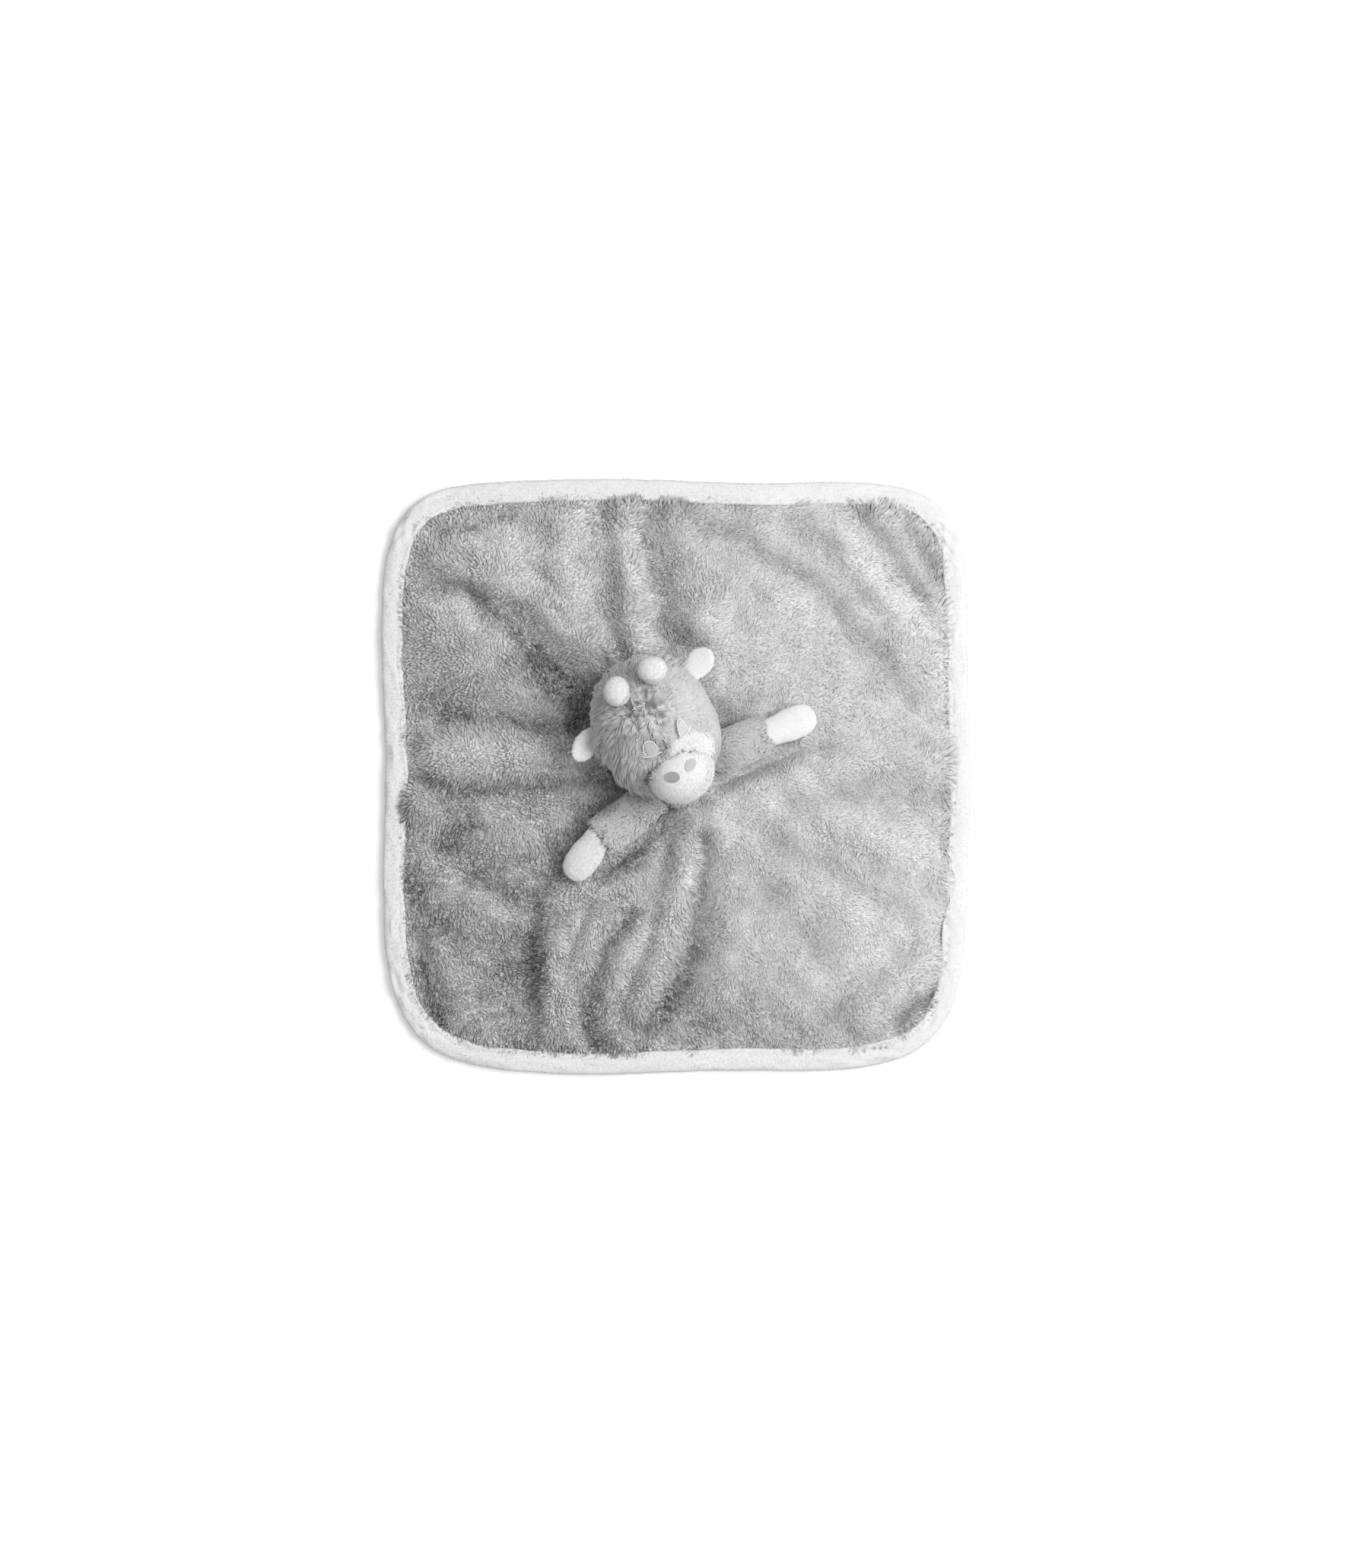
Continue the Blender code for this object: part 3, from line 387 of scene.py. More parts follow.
@dataclass(frozen=True)
class PlushFinish(Finish):
    """A pile or its ground: a grey that rises from the darker roots, where shade is painted, to the tips,
    with sheen.
    """

    # The grey at the roots, darker than at the tips as painted shade.
    root: float
    tip: float
    fleck: float
    sheen: float
    patch_scale: float = 45.0

    def pile(self) -> Material:
        """Makes the material of loose tufts, which reads their depth, for painted shade at the roots, and
        their tone, where painted light and shade are given.

        Returns:
            The material.
        """
        made, shader, tree = blank_material(f"{self.name}_pile")
        depth = add_node(tree, "Attribute", "Fac", {}, attribute_name="depth")
        tone = add_node(tree, "Attribute", "Fac", {}, attribute_name="tone")
        spread = {"Value": noise(tree, self.patch_scale, 3.0), "From Min": 0.3, "From Max": 0.7}
        spread |= {"To Min": 1.0 - self.fleck, "To Max": 1.0 + self.fleck}
        patches = add_node(tree, "MapRange", "Result", spread)
        both = add_node(tree, "Math", "Value", {0: patches, 1: tone}, operation="MULTIPLY")
        # Painted shade at the roots: the grey rises from the root's to the tip's along each tuft.
        colour = {0: ramp(tree, depth, self.root, self.tip, end=0.75), "Scale": both}
        look = {"Base Color": add_node(tree, "VectorMath", "Vector", colour, operation="SCALE")}
        look |= {"Roughness": 0.85, "Specular IOR Level": 0.2}
        plug(shader, look | {"Sheen Weight": self.sheen, "Sheen Roughness": 0.5})
        return made

    def ground(self, nap_size: float, nap_depth: float) -> Material:
        """Makes the material of the cloth that carries the pile, with its fine nap.

        Args:
            nap_size: The nap's grain, in metres.
            nap_depth: How deep its bump is, in metres.

        Returns:
            The material.
        """
        made, shader, tree = blank_material(f"{self.name}_ground")
        grain = noise(tree, 1.0 / nap_size, 4.0)
        patches = {"A": grain, "B": noise(tree, self.patch_scale, 2.0), "Factor": 0.35}
        blend = add_node(tree, "Mix", "Result", patches, data_type="FLOAT")
        nap = {"Height": grain, "Strength": 0.6, "Distance": nap_depth}
        look = {"Base Color": ramp(tree, blend, self.root, self.tip, 0.3, 0.62)}
        look |= {"Normal": add_node(tree, "Bump", "Normal", nap), "Roughness": 0.95}
        plug(shader, look | {"Sheen Weight": self.sheen, "Sheen Roughness": 0.6, "Specular IOR Level": 0.15})
        return made


@dataclass(frozen=True)
class ThreadFinish(Finish):
    """Embroidery thread: two plies that wind round each other, with a soft gloss."""

    level: float
    shadow: float = 0.78

    def material(self) -> Material:
        """Makes the thread's material.

        Returns:
            The material.
        """
        made, shader, tree = blank_material(self.name)
        wave = {"Vector": add_node(tree, "TexCoord", "Object", {}), "Scale": 700.0, "Distortion": 2.0}
        plies = add_node(tree, "TexWave", "Fac", wave, wave_type="BANDS", bands_direction="DIAGONAL")
        relief = {"Height": plies, "Strength": 0.5, "Distance": 0.0001}
        look = {"Base Color": ramp(tree, plies, self.shadow * self.level, self.level)}
        look |= {"Normal": add_node(tree, "Bump", "Normal", relief), "Roughness": 0.5, "Sheen Weight": 0.2}
        plug(shader, look)
        return made


GREY_PLUSH = PlushFinish("grey_plush", "grey_plush", root=0.27, tip=0.83, fleck=0.06, sheen=0.25)
SOFT_PLUSH = PlushFinish("soft_grey_plush", "grey_plush", root=0.40, tip=0.66, fleck=0.04, sheen=0.25)
PALE_PLUSH = PlushFinish("pale_plush", "grey_plush", root=0.58, tip=0.86, fleck=0.02, sheen=0.15)
BINDING_PLUSH = PlushFinish("binding_plush", "white_plush", root=0.76, tip=0.86, fleck=0.02, sheen=0.10)
WHITE_PLUSH = PlushFinish("white_plush", "white_plush", root=0.88, tip=0.95, fleck=0.01, sheen=0.10)
# One grey thread in three tones: each left-side piece takes a darker tone than its right-side twin, as
# painted shade.
GREY_THREAD = ThreadFinish("grey_embroidery", "grey_thread", 0.49)
PALE_THREAD = ThreadFinish("pale_embroidery", "grey_thread", 0.75)
SOFT_THREAD = ThreadFinish("soft_embroidery", "grey_thread", 0.93)
WHITE_THREAD = ThreadFinish("white_embroidery", "white_thread", 0.97)


# Pile


# Each tuft's triangles, and how far up the tuft each of its corners is.
SPIKE = (((0, 1, 3), (1, 2, 3), (2, 0, 3), (2, 1, 0)), (0.0, 0.0, 0.0, 1.0))
BENT_SPIKE = (
    (
        (0, 1, 4), (0, 4, 3), (1, 2, 5), (1, 5, 4), (2, 0, 3), (2, 3, 5),
        (3, 4, 6), (4, 5, 6), (5, 3, 6), (2, 1, 0),
    ),
    (0.0, 0.0, 0.0, 0.6, 0.6, 0.6, 1.0),
)  # fmt: skip


@dataclass(frozen=True)
class TuftStyle:
    """The size and lie of a pile's tufts."""

    length: float
    width: float
    lift_deg: float
    per_mm2: float
    clump_size: float
    clump_share: float
    bent: bool = False
    straying: float = 0.25
    softness: float = 0.6
    upward: float = 0.0


@dataclass
class Pile:
    """A coat of tapered tufts on a mesh."""

    style: TuftStyle
    finish: PlushFinish
    seed: int

    def roots(self, carrier: Piece, keep: Field, upper_only: bool) -> tuple[Rows, Rows]:
        """Spreads roots over a mesh.

        Args:
            carrier: The mesh object that the pile grows on.
            keep: The share of the full density at each place.
            upper_only: Whether the pile grows on the upward faces alone.

        Returns:
            The roots' places and the outward directions there.
        """
        rng = np.random.default_rng(self.seed)
        carrier.data.calc_loop_triangles()
        corners = np.empty(len(carrier.data.loop_triangles) * 3, np.int32)
        carrier.data.loop_triangles.foreach_get("vertices", corners)
        corners = corners.reshape(-1, 3)
        normals = vertex_rows(carrier, "normal").astype(float)
        triangles = vertex_places(carrier)[corners]
        sides = triangles[:, 1] - triangles[:, 0], triangles[:, 2] - triangles[:, 0]
        areas = np.linalg.norm(np.cross(*sides), axis=1)
        wanted = areas * 0.5e6 * self.style.per_mm2 * keep(triangles.mean(axis=1))
        if upper_only:
            wanted *= normals[corners].mean(axis=1)[:, 2] > 0.2
        counts = np.floor(wanted + rng.random(len(wanted))).astype(int)
        chosen = np.repeat(np.arange(len(counts)), counts)
        shares = rng.random((len(chosen), 2))
        over = shares.sum(axis=1) > 1.0
        shares[over] = 1.0 - shares[over]
        weights = np.column_stack((1.0 - shares.sum(axis=1), shares))[:, :, None]
        places = (triangles[chosen] * weights).sum(axis=1)
        return places, unit((normals[corners[chosen]] * weights).sum(axis=1))

    def grow(
        self,
        name: str,
        carrier: Piece,
        body: str,
        comb: Comb,
        keep: Field = everywhere,
        size: Field = everywhere,
        shade: Field = everywhere,
        ruffle: Field = everywhere,
        upper_only: bool = False,
    ) -> Piece:
        """Grows the coat.

        Args:
            name: The new piece's name.
            carrier: The mesh object that the pile grows on.
            body: The body that it rides on.
            comb: The direction in which the pile is brushed, from places and outward directions.
            keep: The share of the full density at each place.
            size: The share of the full length at each place.
            shade: The share of the full tone at each place, where painted light and shade are given.
            ruffle: How much the pile stands up and parts into locks, as a share of the style's.
            upper_only: Whether the pile grows on the upward faces alone.

        Returns:
            The coat's object.
        """
        style = self.style
        places, outward = self.roots(carrier, keep, upper_only)
        rng = np.random.default_rng(self.seed + 1)
        count = len(places)
        brushed = comb(places, outward) + rng.normal(scale=style.straying, size=(count, 3))
        brushed = unit(brushed - outward * (brushed * outward).sum(axis=1, keepdims=True))
        rough = ruffle(places)[:, None]
        lift = np.radians(style.lift_deg) * rng.uniform(0.6, 1.4, count)[:, None] * rough
        length = (style.length * size(places) * rng.uniform(0.75, 1.2, count))[:, None]
        tips = places + (brushed * np.cos(lift) + outward * np.sin(lift)) * length
        tips, lock = self.clumped(places, tips, np.minimum(style.clump_share * rough, 0.75))
        across = unit(np.cross(unit(tips - places), outward))
        upward = np.cross(across, unit(tips - places))
        half = (style.width / 2 * rng.uniform(0.75, 1.25, count))[:, None]
        base = places - outward * half
        corners = [base - across * half, base + upward * half * 1.2, base + across * half]
        pattern, depths = BENT_SPIKE if style.bent else SPIKE
        if style.bent:
            middle = places * 0.45 + tips * 0.55 + outward * length * 0.10
            half = half * 0.85
            corners += [middle - across * half, middle + upward * half * 1.1, middle + across * half]
        points = np.stack([*corners, tips], axis=1).reshape(-1, 3)
        points[:, 2] = np.maximum(points[:, 2], TABLE_GAP)
        faces = np.arange(count)[:, None, None] * len(depths) + np.array(pattern)[None]
        coat = mesh_object(name, points, faces.reshape(-1, 3))
        self.soften(coat, np.repeat(outward, len(depths), axis=0))
        # The tone carries the painted light and shade from shade, with random flecks.
        tone = shade(places)
        spread = self.finish.fleck * (1.0 + 4.0 * np.clip(1.0 - tone, 0.0, 0.5))
        tone = tone * (1.0 + spread * rng.uniform(-1.5, 1.5, count))
        tone = tone * (1.0 + spread * rough[:, 0] * rng.uniform(-2.2, 1.2, lock.max() + 1)[lock])
        for label, values in (("depth", np.tile(depths, count)), ("tone", np.repeat(tone, len(depths)))):
            attribute = coat.data.attributes.new(label, "FLOAT", "POINT")
            attribute.data.foreach_set("value", np.asarray(values, np.float32))
        self.finish.dress(coat, self.finish.pile(), body)
        LOG.info("%s: %d tufts", name, count)
        return coat

    def soften(self, coat: Piece, outward: Rows) -> None:
        """Turns the tufts' shading towards the cloth's, so that light falls softly on the pile.

        Args:
            coat: The coat.
            outward: The cloth's outward direction for each of its vertices.
        """
        share = self.style.softness
        facing = unit(outward + UP * self.style.upward)
        mixed = unit(vertex_rows(coat, "normal") * (1.0 - share) + facing * share)
        coat.data.normals_split_custom_set_from_vertices(mixed.astype(np.float32))

    def clumped(self, places: Rows, tips: Rows, share: Rows) -> tuple[Rows, Rows]:
        """Draws neighbouring tips together into locks.

        Args:
            places: The roots.
            tips: The tips before they are drawn together.
            share: How far each tip is drawn to the middle of its lock's tips.

        Returns:
            The tips, and the number of the lock that each tuft is in.
        """
        size = self.style.clump_size
        warp = np.column_stack([Ripple(size * 5, self.seed + 20 + axis)(places) for axis in range(3)])
        cells = np.floor((places + warp * size * 0.6) / size).astype(np.int64)
        _, lock = np.unique(cells @ np.array([1, 100003, 10000600009]), return_inverse=True)
        sums = [np.bincount(lock, weights=tips[:, axis]) for axis in range(3)]
        centre = np.column_stack(sums) / np.bincount(lock)[:, None]
        return tips * (1.0 - share) + centre[lock] * share, lock


LONG_PILE = TuftStyle(
    length=0.0036, width=0.00096, lift_deg=32.0, per_mm2=2.2, clump_size=0.0019, clump_share=0.42,
    straying=0.42, softness=0.70,
)  # fmt: skip
EDGE_NAP = TuftStyle(
    length=0.0011, width=0.00050, lift_deg=30.0, per_mm2=0.8, clump_size=0.0014, clump_share=0.3,
    straying=0.5, softness=0.75,
)  # fmt: skip
SHORT_NAP = TuftStyle(
    length=0.0013, width=0.00057, lift_deg=26.0, per_mm2=5.0, clump_size=0.0012, clump_share=0.08,
    straying=0.45, softness=0.94, upward=0.7,
)  # fmt: skip
HAND_NAP = replace(SHORT_NAP, upward=1.8)
CHEEK_FUR = TuftStyle(
    length=0.0072, width=0.00078, lift_deg=21.0, per_mm2=2.6, clump_size=0.0034, clump_share=0.42,
    bent=True, straying=0.22, softness=0.88,
)  # fmt: skip
SMOOTH_FUR = TuftStyle(
    length=0.0052, width=0.00086, lift_deg=13.0, per_mm2=2.8, clump_size=0.0030, clump_share=0.22,
    bent=True, straying=0.16, softness=0.92,
)  # fmt: skip
NAPE_FUR = TuftStyle(
    length=0.0048, width=0.0011, lift_deg=22.0, per_mm2=0.8, clump_size=0.0032, clump_share=0.45,
    bent=True,
)  # fmt: skip
HEAD_LOCKS = TuftStyle(
    length=0.0105, width=0.00090, lift_deg=22.0, per_mm2=0.55, clump_size=0.0060, clump_share=0.72,
    bent=True, straying=0.20, softness=0.82,
)  # fmt: skip
BRIDGE_HAIR = TuftStyle(
    length=0.0042, width=0.00090, lift_deg=15.0, per_mm2=5.0, clump_size=0.0016, clump_share=0.05,
    bent=True, straying=0.20, softness=0.96, upward=0.5,
)  # fmt: skip
SLEEVE_FUR = TuftStyle(
    length=0.0044, width=0.00082, lift_deg=24.0, per_mm2=2.8, clump_size=0.0020, clump_share=0.28,
    bent=True, straying=0.25, softness=0.88, upward=0.6,
)  # fmt: skip
NECK_FUR = TuftStyle(
    length=0.0052, width=0.0009, lift_deg=40.0, per_mm2=2.2, clump_size=0.0026, clump_share=0.40,
    bent=True,
)  # fmt: skip


# Padded pieces


# The grain and the depth of the fine nap on the padded pieces' cloth.
PADDED_NAP = {GREY_PLUSH: (0.0012, 0.0005), WHITE_PLUSH: (0.0010, 0.0001)}


@dataclass
class Padding:
    """Makes one stuffed form from the frame's covers and stuffing, and lets air pressure plump it."""

    name: str
    nodes: tuple[str, ...]
    grain: float
    inset: float
    plump: float = 0.0
    calming: int = 6
    pressure: float = 4.0
    frames: int = 20

    def build(self) -> Piece:
        """Joins the nodes' shapes to one skin, plumps it and smooths it.

        Returns:
            The padded form.
        """
        joined = bmesh.new()
        for node in self.nodes:
            joined.from_mesh(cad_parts[node].data)
        bmesh.ops.remove_doubles(joined, verts=joined.verts, dist=0.00001)
        mesh = bpy.data.meshes.new(self.name)
        joined.to_mesh(mesh)
        joined.free()
        form = linked(self.name, mesh)
        apply_modifier(form, "REMESH", mode="VOXEL", voxel_size=self.grain)
        keep_largest_shell(form)
        apply_modifier(form, "SMOOTH", factor=0.6, iterations=self.calming)
        move_vertices(form, vertex_places(form) - vertex_rows(form, "normal") * self.inset)
        if self.plump > 0:
            self.inflate(form)
        apply_modifier(form, "SUBSURF", levels=1, render_levels=1)
        form.data.shade_smooth()
        LOG.info("%s: %d faces", self.name, len(form.data.polygons))
        return form

    def inflate(self, form: Piece) -> None:
        """Runs a short cloth simulation under air pressure and caps how far a point may move.

        Args:
            form: The padded form.
        """
        before = vertex_places(form)
        cloth = form.modifiers.new("CLOTH", "CLOTH")
        cloth.settings.use_pressure = True
        cloth.settings.uniform_pressure_force = self.pressure
        cloth.settings.effector_weights.gravity = 0.0
        cloth.point_cache.frame_start = 1
        cloth.point_cache.frame_end = self.frames
        for step in range(self.frames):
            bpy.context.scene.frame_set(step + 1)
        apply_modifier(form, "CLOTH")
        bpy.context.scene.frame_set(1)
        moved = vertex_places(form) - before
        reach = np.linalg.norm(moved, axis=1, keepdims=True)
        move_vertices(form, before + moved * np.minimum(1.0, self.plump / np.maximum(reach, 1e-9)))

    def dress(self, form: Piece, finish: PlushFinish, body: str, fill: float) -> None:
        """Gives the form its plush cloth and ties it to the frame."""
        finish.dress(form, finish.ground(*PADDED_NAP[finish]), body, *self.nodes, fill=fill)


def keep_largest_shell(form: Piece) -> None:
    """Removes every loose part of a mesh but the largest.

    Args:
        form: The mesh object.
    """
    work = bmesh.new()
    work.from_mesh(form.data)
    unseen = set(work.verts)
    shells = []
    while unseen:
        edge = [unseen.pop()]
        shell = list(edge)
        while edge:
            here = edge.pop()
            found = {link.other_vert(here) for link in here.link_edges} & unseen
            unseen -= found
            shell += found
            edge += found
        shells.append(shell)
    shells.sort(key=len)
    bmesh.ops.delete(work, geom=[vert for shell in shells[:-1] for vert in shell], context="VERTS")
    work.to_mesh(form.data)
    work.free()


# The blanket


@dataclass(frozen=True)
class HeadSize:
    """The head's place, turn and half sizes, as in the part's source."""

    centre: Place = (-0.0110, 0.0303, 0.0419)
    halves: Place = (0.0345, 0.0415, 0.0330)
    power: float = 2.35
    turn_deg: float = 33.0

    def own(self, places: Rows) -> Rows:
        """Turns places into the head's own axes: to its right-hand ear, to the crown, out of the face."""
        offset = places - np.array(self.centre)
        return np.column_stack((*turned(offset[:, 0], offset[:, 1], -self.turn_deg), offset[:, 2]))

    def world(self, ways: Rows) -> Rows:
        """Turns directions in the head's own axes back."""
        return np.column_stack((*turned(ways[:, 0], ways[:, 1], self.turn_deg), ways[:, 2]))

    def filled(self, plan: Rows) -> Rows:
        """Gives how full the head's outline is at places in its own axes, 1 at its rim."""
        shares = np.abs(plan[:, :2] / np.array(self.halves[:2])) ** self.power
        return shares[:, 0] + shares[:, 1]

    def rise(self, filled: Rows) -> Rows:
        """Gives how far the head's cover is from its middle plane."""
        return self.halves[2] * np.maximum(0.0, 1.0 - filled) ** (1 / self.power)


@dataclass
class BlanketShape:
    """The blanket's outline and its folds, with the sizes of the part's source."""

    width: float = 0.3495
    length: float = 0.3527
    wave_share: float = 0.005
    upper_power: float = 6.9
    lower_power: float = 5.6
    fold_height: float = 0.0105
    fold_width: float = 0.0100
    pile_top: float = 0.0057
    rest_gap: float = 0.0010
    neck: Plan = (0.0011, -0.0082)
    neck_radius: float = 0.0080
    bed_margin: float = 0.0050
    bed_slope: float = 0.80
    sleeve_half: float = 0.0125
    head: HeadSize = HeadSize()
    arm_runs: tuple[Route, ...] = (
        ((-0.0105, -0.0127), (-0.0459, -0.0363), (-0.0642, -0.0613)),
        ((0.0157, 0.0098), (0.0551, 0.0260), (0.0838, 0.0376)),
    )
    # Each fold's start, middle and end as shares of the half sizes, its height and its width.
    routes: tuple[tuple[Plan, Plan, Plan, float, float], ...] = (
        ((-0.24, 0.075), (-0.54, 0.096), (-0.82, 0.085), 0.80, 0.95),
        ((-0.24, 0.006), (-0.54, 0.028), (-0.82, 0.017), 0.72, 0.85),
        ((-0.30, -0.15), (-0.57, -0.16), (-0.90, -0.09), 0.45, 1.20),
        ((-0.27, 0.36), (-0.50, 0.60), (-0.80, 0.71), 0.75, 1.00),
        ((-0.41, 0.19), (-0.65, 0.34), (-0.86, 0.47), 0.50, 1.40),
        ((-0.14, 0.44), (-0.165, 0.66), (-0.17, 0.90), 0.65, 0.90),
        ((-0.35, 0.56), (-0.39, 0.70), (-0.36, 0.86), 0.40, 1.10),
        ((0.12, 0.46), (0.04, 0.68), (0.00, 0.90), 0.50, 1.20),
        ((0.42, 0.88), (0.64, 0.68), (0.86, 0.40), 0.50, 0.80),
        ((0.69, 0.88), (0.79, 0.74), (0.90, 0.52), 0.40, 0.60),
        ((0.16, 0.38), (0.39, 0.50), (0.75, 0.42), 0.30, 1.80),
        ((0.15, -0.06), (0.38, 0.00), (0.90, 0.05), 0.65, 1.30),
        ((0.15, -0.12), (0.49, -0.20), (0.88, -0.29), 0.30, 1.40),
        ((0.035, -0.15), (0.01, -0.38), (-0.13, -0.78), 0.70, 0.90),
        ((0.14, -0.17), (0.18, -0.42), (0.15, -0.76), 0.60, 1.20),
        ((-0.12, -0.25), (-0.37, -0.42), (-0.42, -0.84), 0.75, 0.80),
        ((-0.24, -0.46), (-0.35, -0.66), (-0.38, -0.87), 0.50, 0.85),
        ((-0.13, -0.50), (-0.22, -0.72), (-0.19, -0.89), 0.50, 0.85),
        ((-0.86, -0.27), (-0.73, -0.36), (-0.60, -0.47), 0.35, 0.90),
        ((-0.81, -0.56), (-0.76, -0.70), (-0.71, -0.82), 0.45, 0.80),
        ((0.63, -0.83), (0.76, -0.69), (0.86, -0.60), 0.40, 0.80),
        ((0.28, -0.25), (0.49, -0.41), (0.67, -0.69), 0.30, 1.60),
    )
    route_steps: int = 10

    @property
    def halves(self) -> Rows:
        """Gives half the width and half the length."""
        return np.array([self.width, self.length]) / 2

    def outline(self, count: int) -> tuple[Rows, Rows]:
        """Gives the edge as evenly spaced points.

        Args:
            count: How many points there are.

        Returns:
            The points in plan and their outward directions.
        """
        angles = np.arange(count * 24) * (2 * math.pi / (count * 24))
        across, along = np.cos(angles), np.sin(angles)
        power = np.where(along > 0, self.upper_power, self.lower_power)
        reach = (np.abs(across) ** power + np.abs(along) ** power) ** (-1 / power)
        reach += self.wave_share * (np.sin(3 * angles + 0.9) + np.sin(7 * angles + 2.0))
        fine = np.column_stack((across * reach, along * reach))
        low, high = fine.min(axis=0), fine.max(axis=0)
        fine = (fine - (low + high) / 2) * np.array([self.width, self.length]) / (high - low)
        walked = np.concatenate(([0.0], np.cumsum(np.linalg.norm(np.roll(fine, -1, axis=0) - fine, axis=1))))
        wanted = walked[-1] * np.arange(count) / count
        ring = np.vstack((fine, fine[:1]))
        places = np.column_stack([np.interp(wanted, walked, ring[:, axis]) for axis in range(2)])
        run = np.roll(places, -1, axis=0) - np.roll(places, 1, axis=0)
        return places, unit(np.column_stack((run[:, 1], -run[:, 0])))

    def folds(self, plan: Rows) -> Rows:
        """Gives how far the folds lift the cloth.

        Args:
            plan: Rows of two coordinates.

        Returns:
            One height for each row.
        """
        total = np.zeros(len(plan))
        steps = np.linspace(0.0, 1.0, self.route_steps + 1)[:, None]
        for *shares, height, width in self.routes:
            start, middle, end = np.array(shares) * self.halves
            handle = middle * 2 - (start + end) / 2
            route = start * (1 - steps) ** 2 + handle * (2 * steps * (1 - steps)) + end * steps**2
            total += (self.fold_height * height * bell(route_gap(plan, route), self.fold_width * width)) ** 2
        return np.sqrt(total)

    def top(self, plan: Rows) -> Rows:
        """Gives the height of the pile's top, with what lies on it pressed in.

        Args:
            plan: Rows of two coordinates.

        Returns:
            One height for each row.
        """
        height = self.pile_top + self.folds(plan)
        filled = self.head.filled(self.head.own(np.column_stack((plan, np.zeros(len(plan))))))
        under = self.head.centre[2] - self.head.rise(filled) - self.rest_gap * 2
        height = np.where(filled < 1.0, np.minimum(height, np.maximum(self.pile_top, under)), height)
        gaps = [route_gap(plan, run) - self.sleeve_half for run in self.arm_runs]
        for gap in (*gaps, away_from(plan, self.neck) - self.neck_radius):
            bed = np.maximum(0.0, gap - self.bed_margin) * self.bed_slope
            height = np.minimum(height, self.pile_top + bed)
        return height


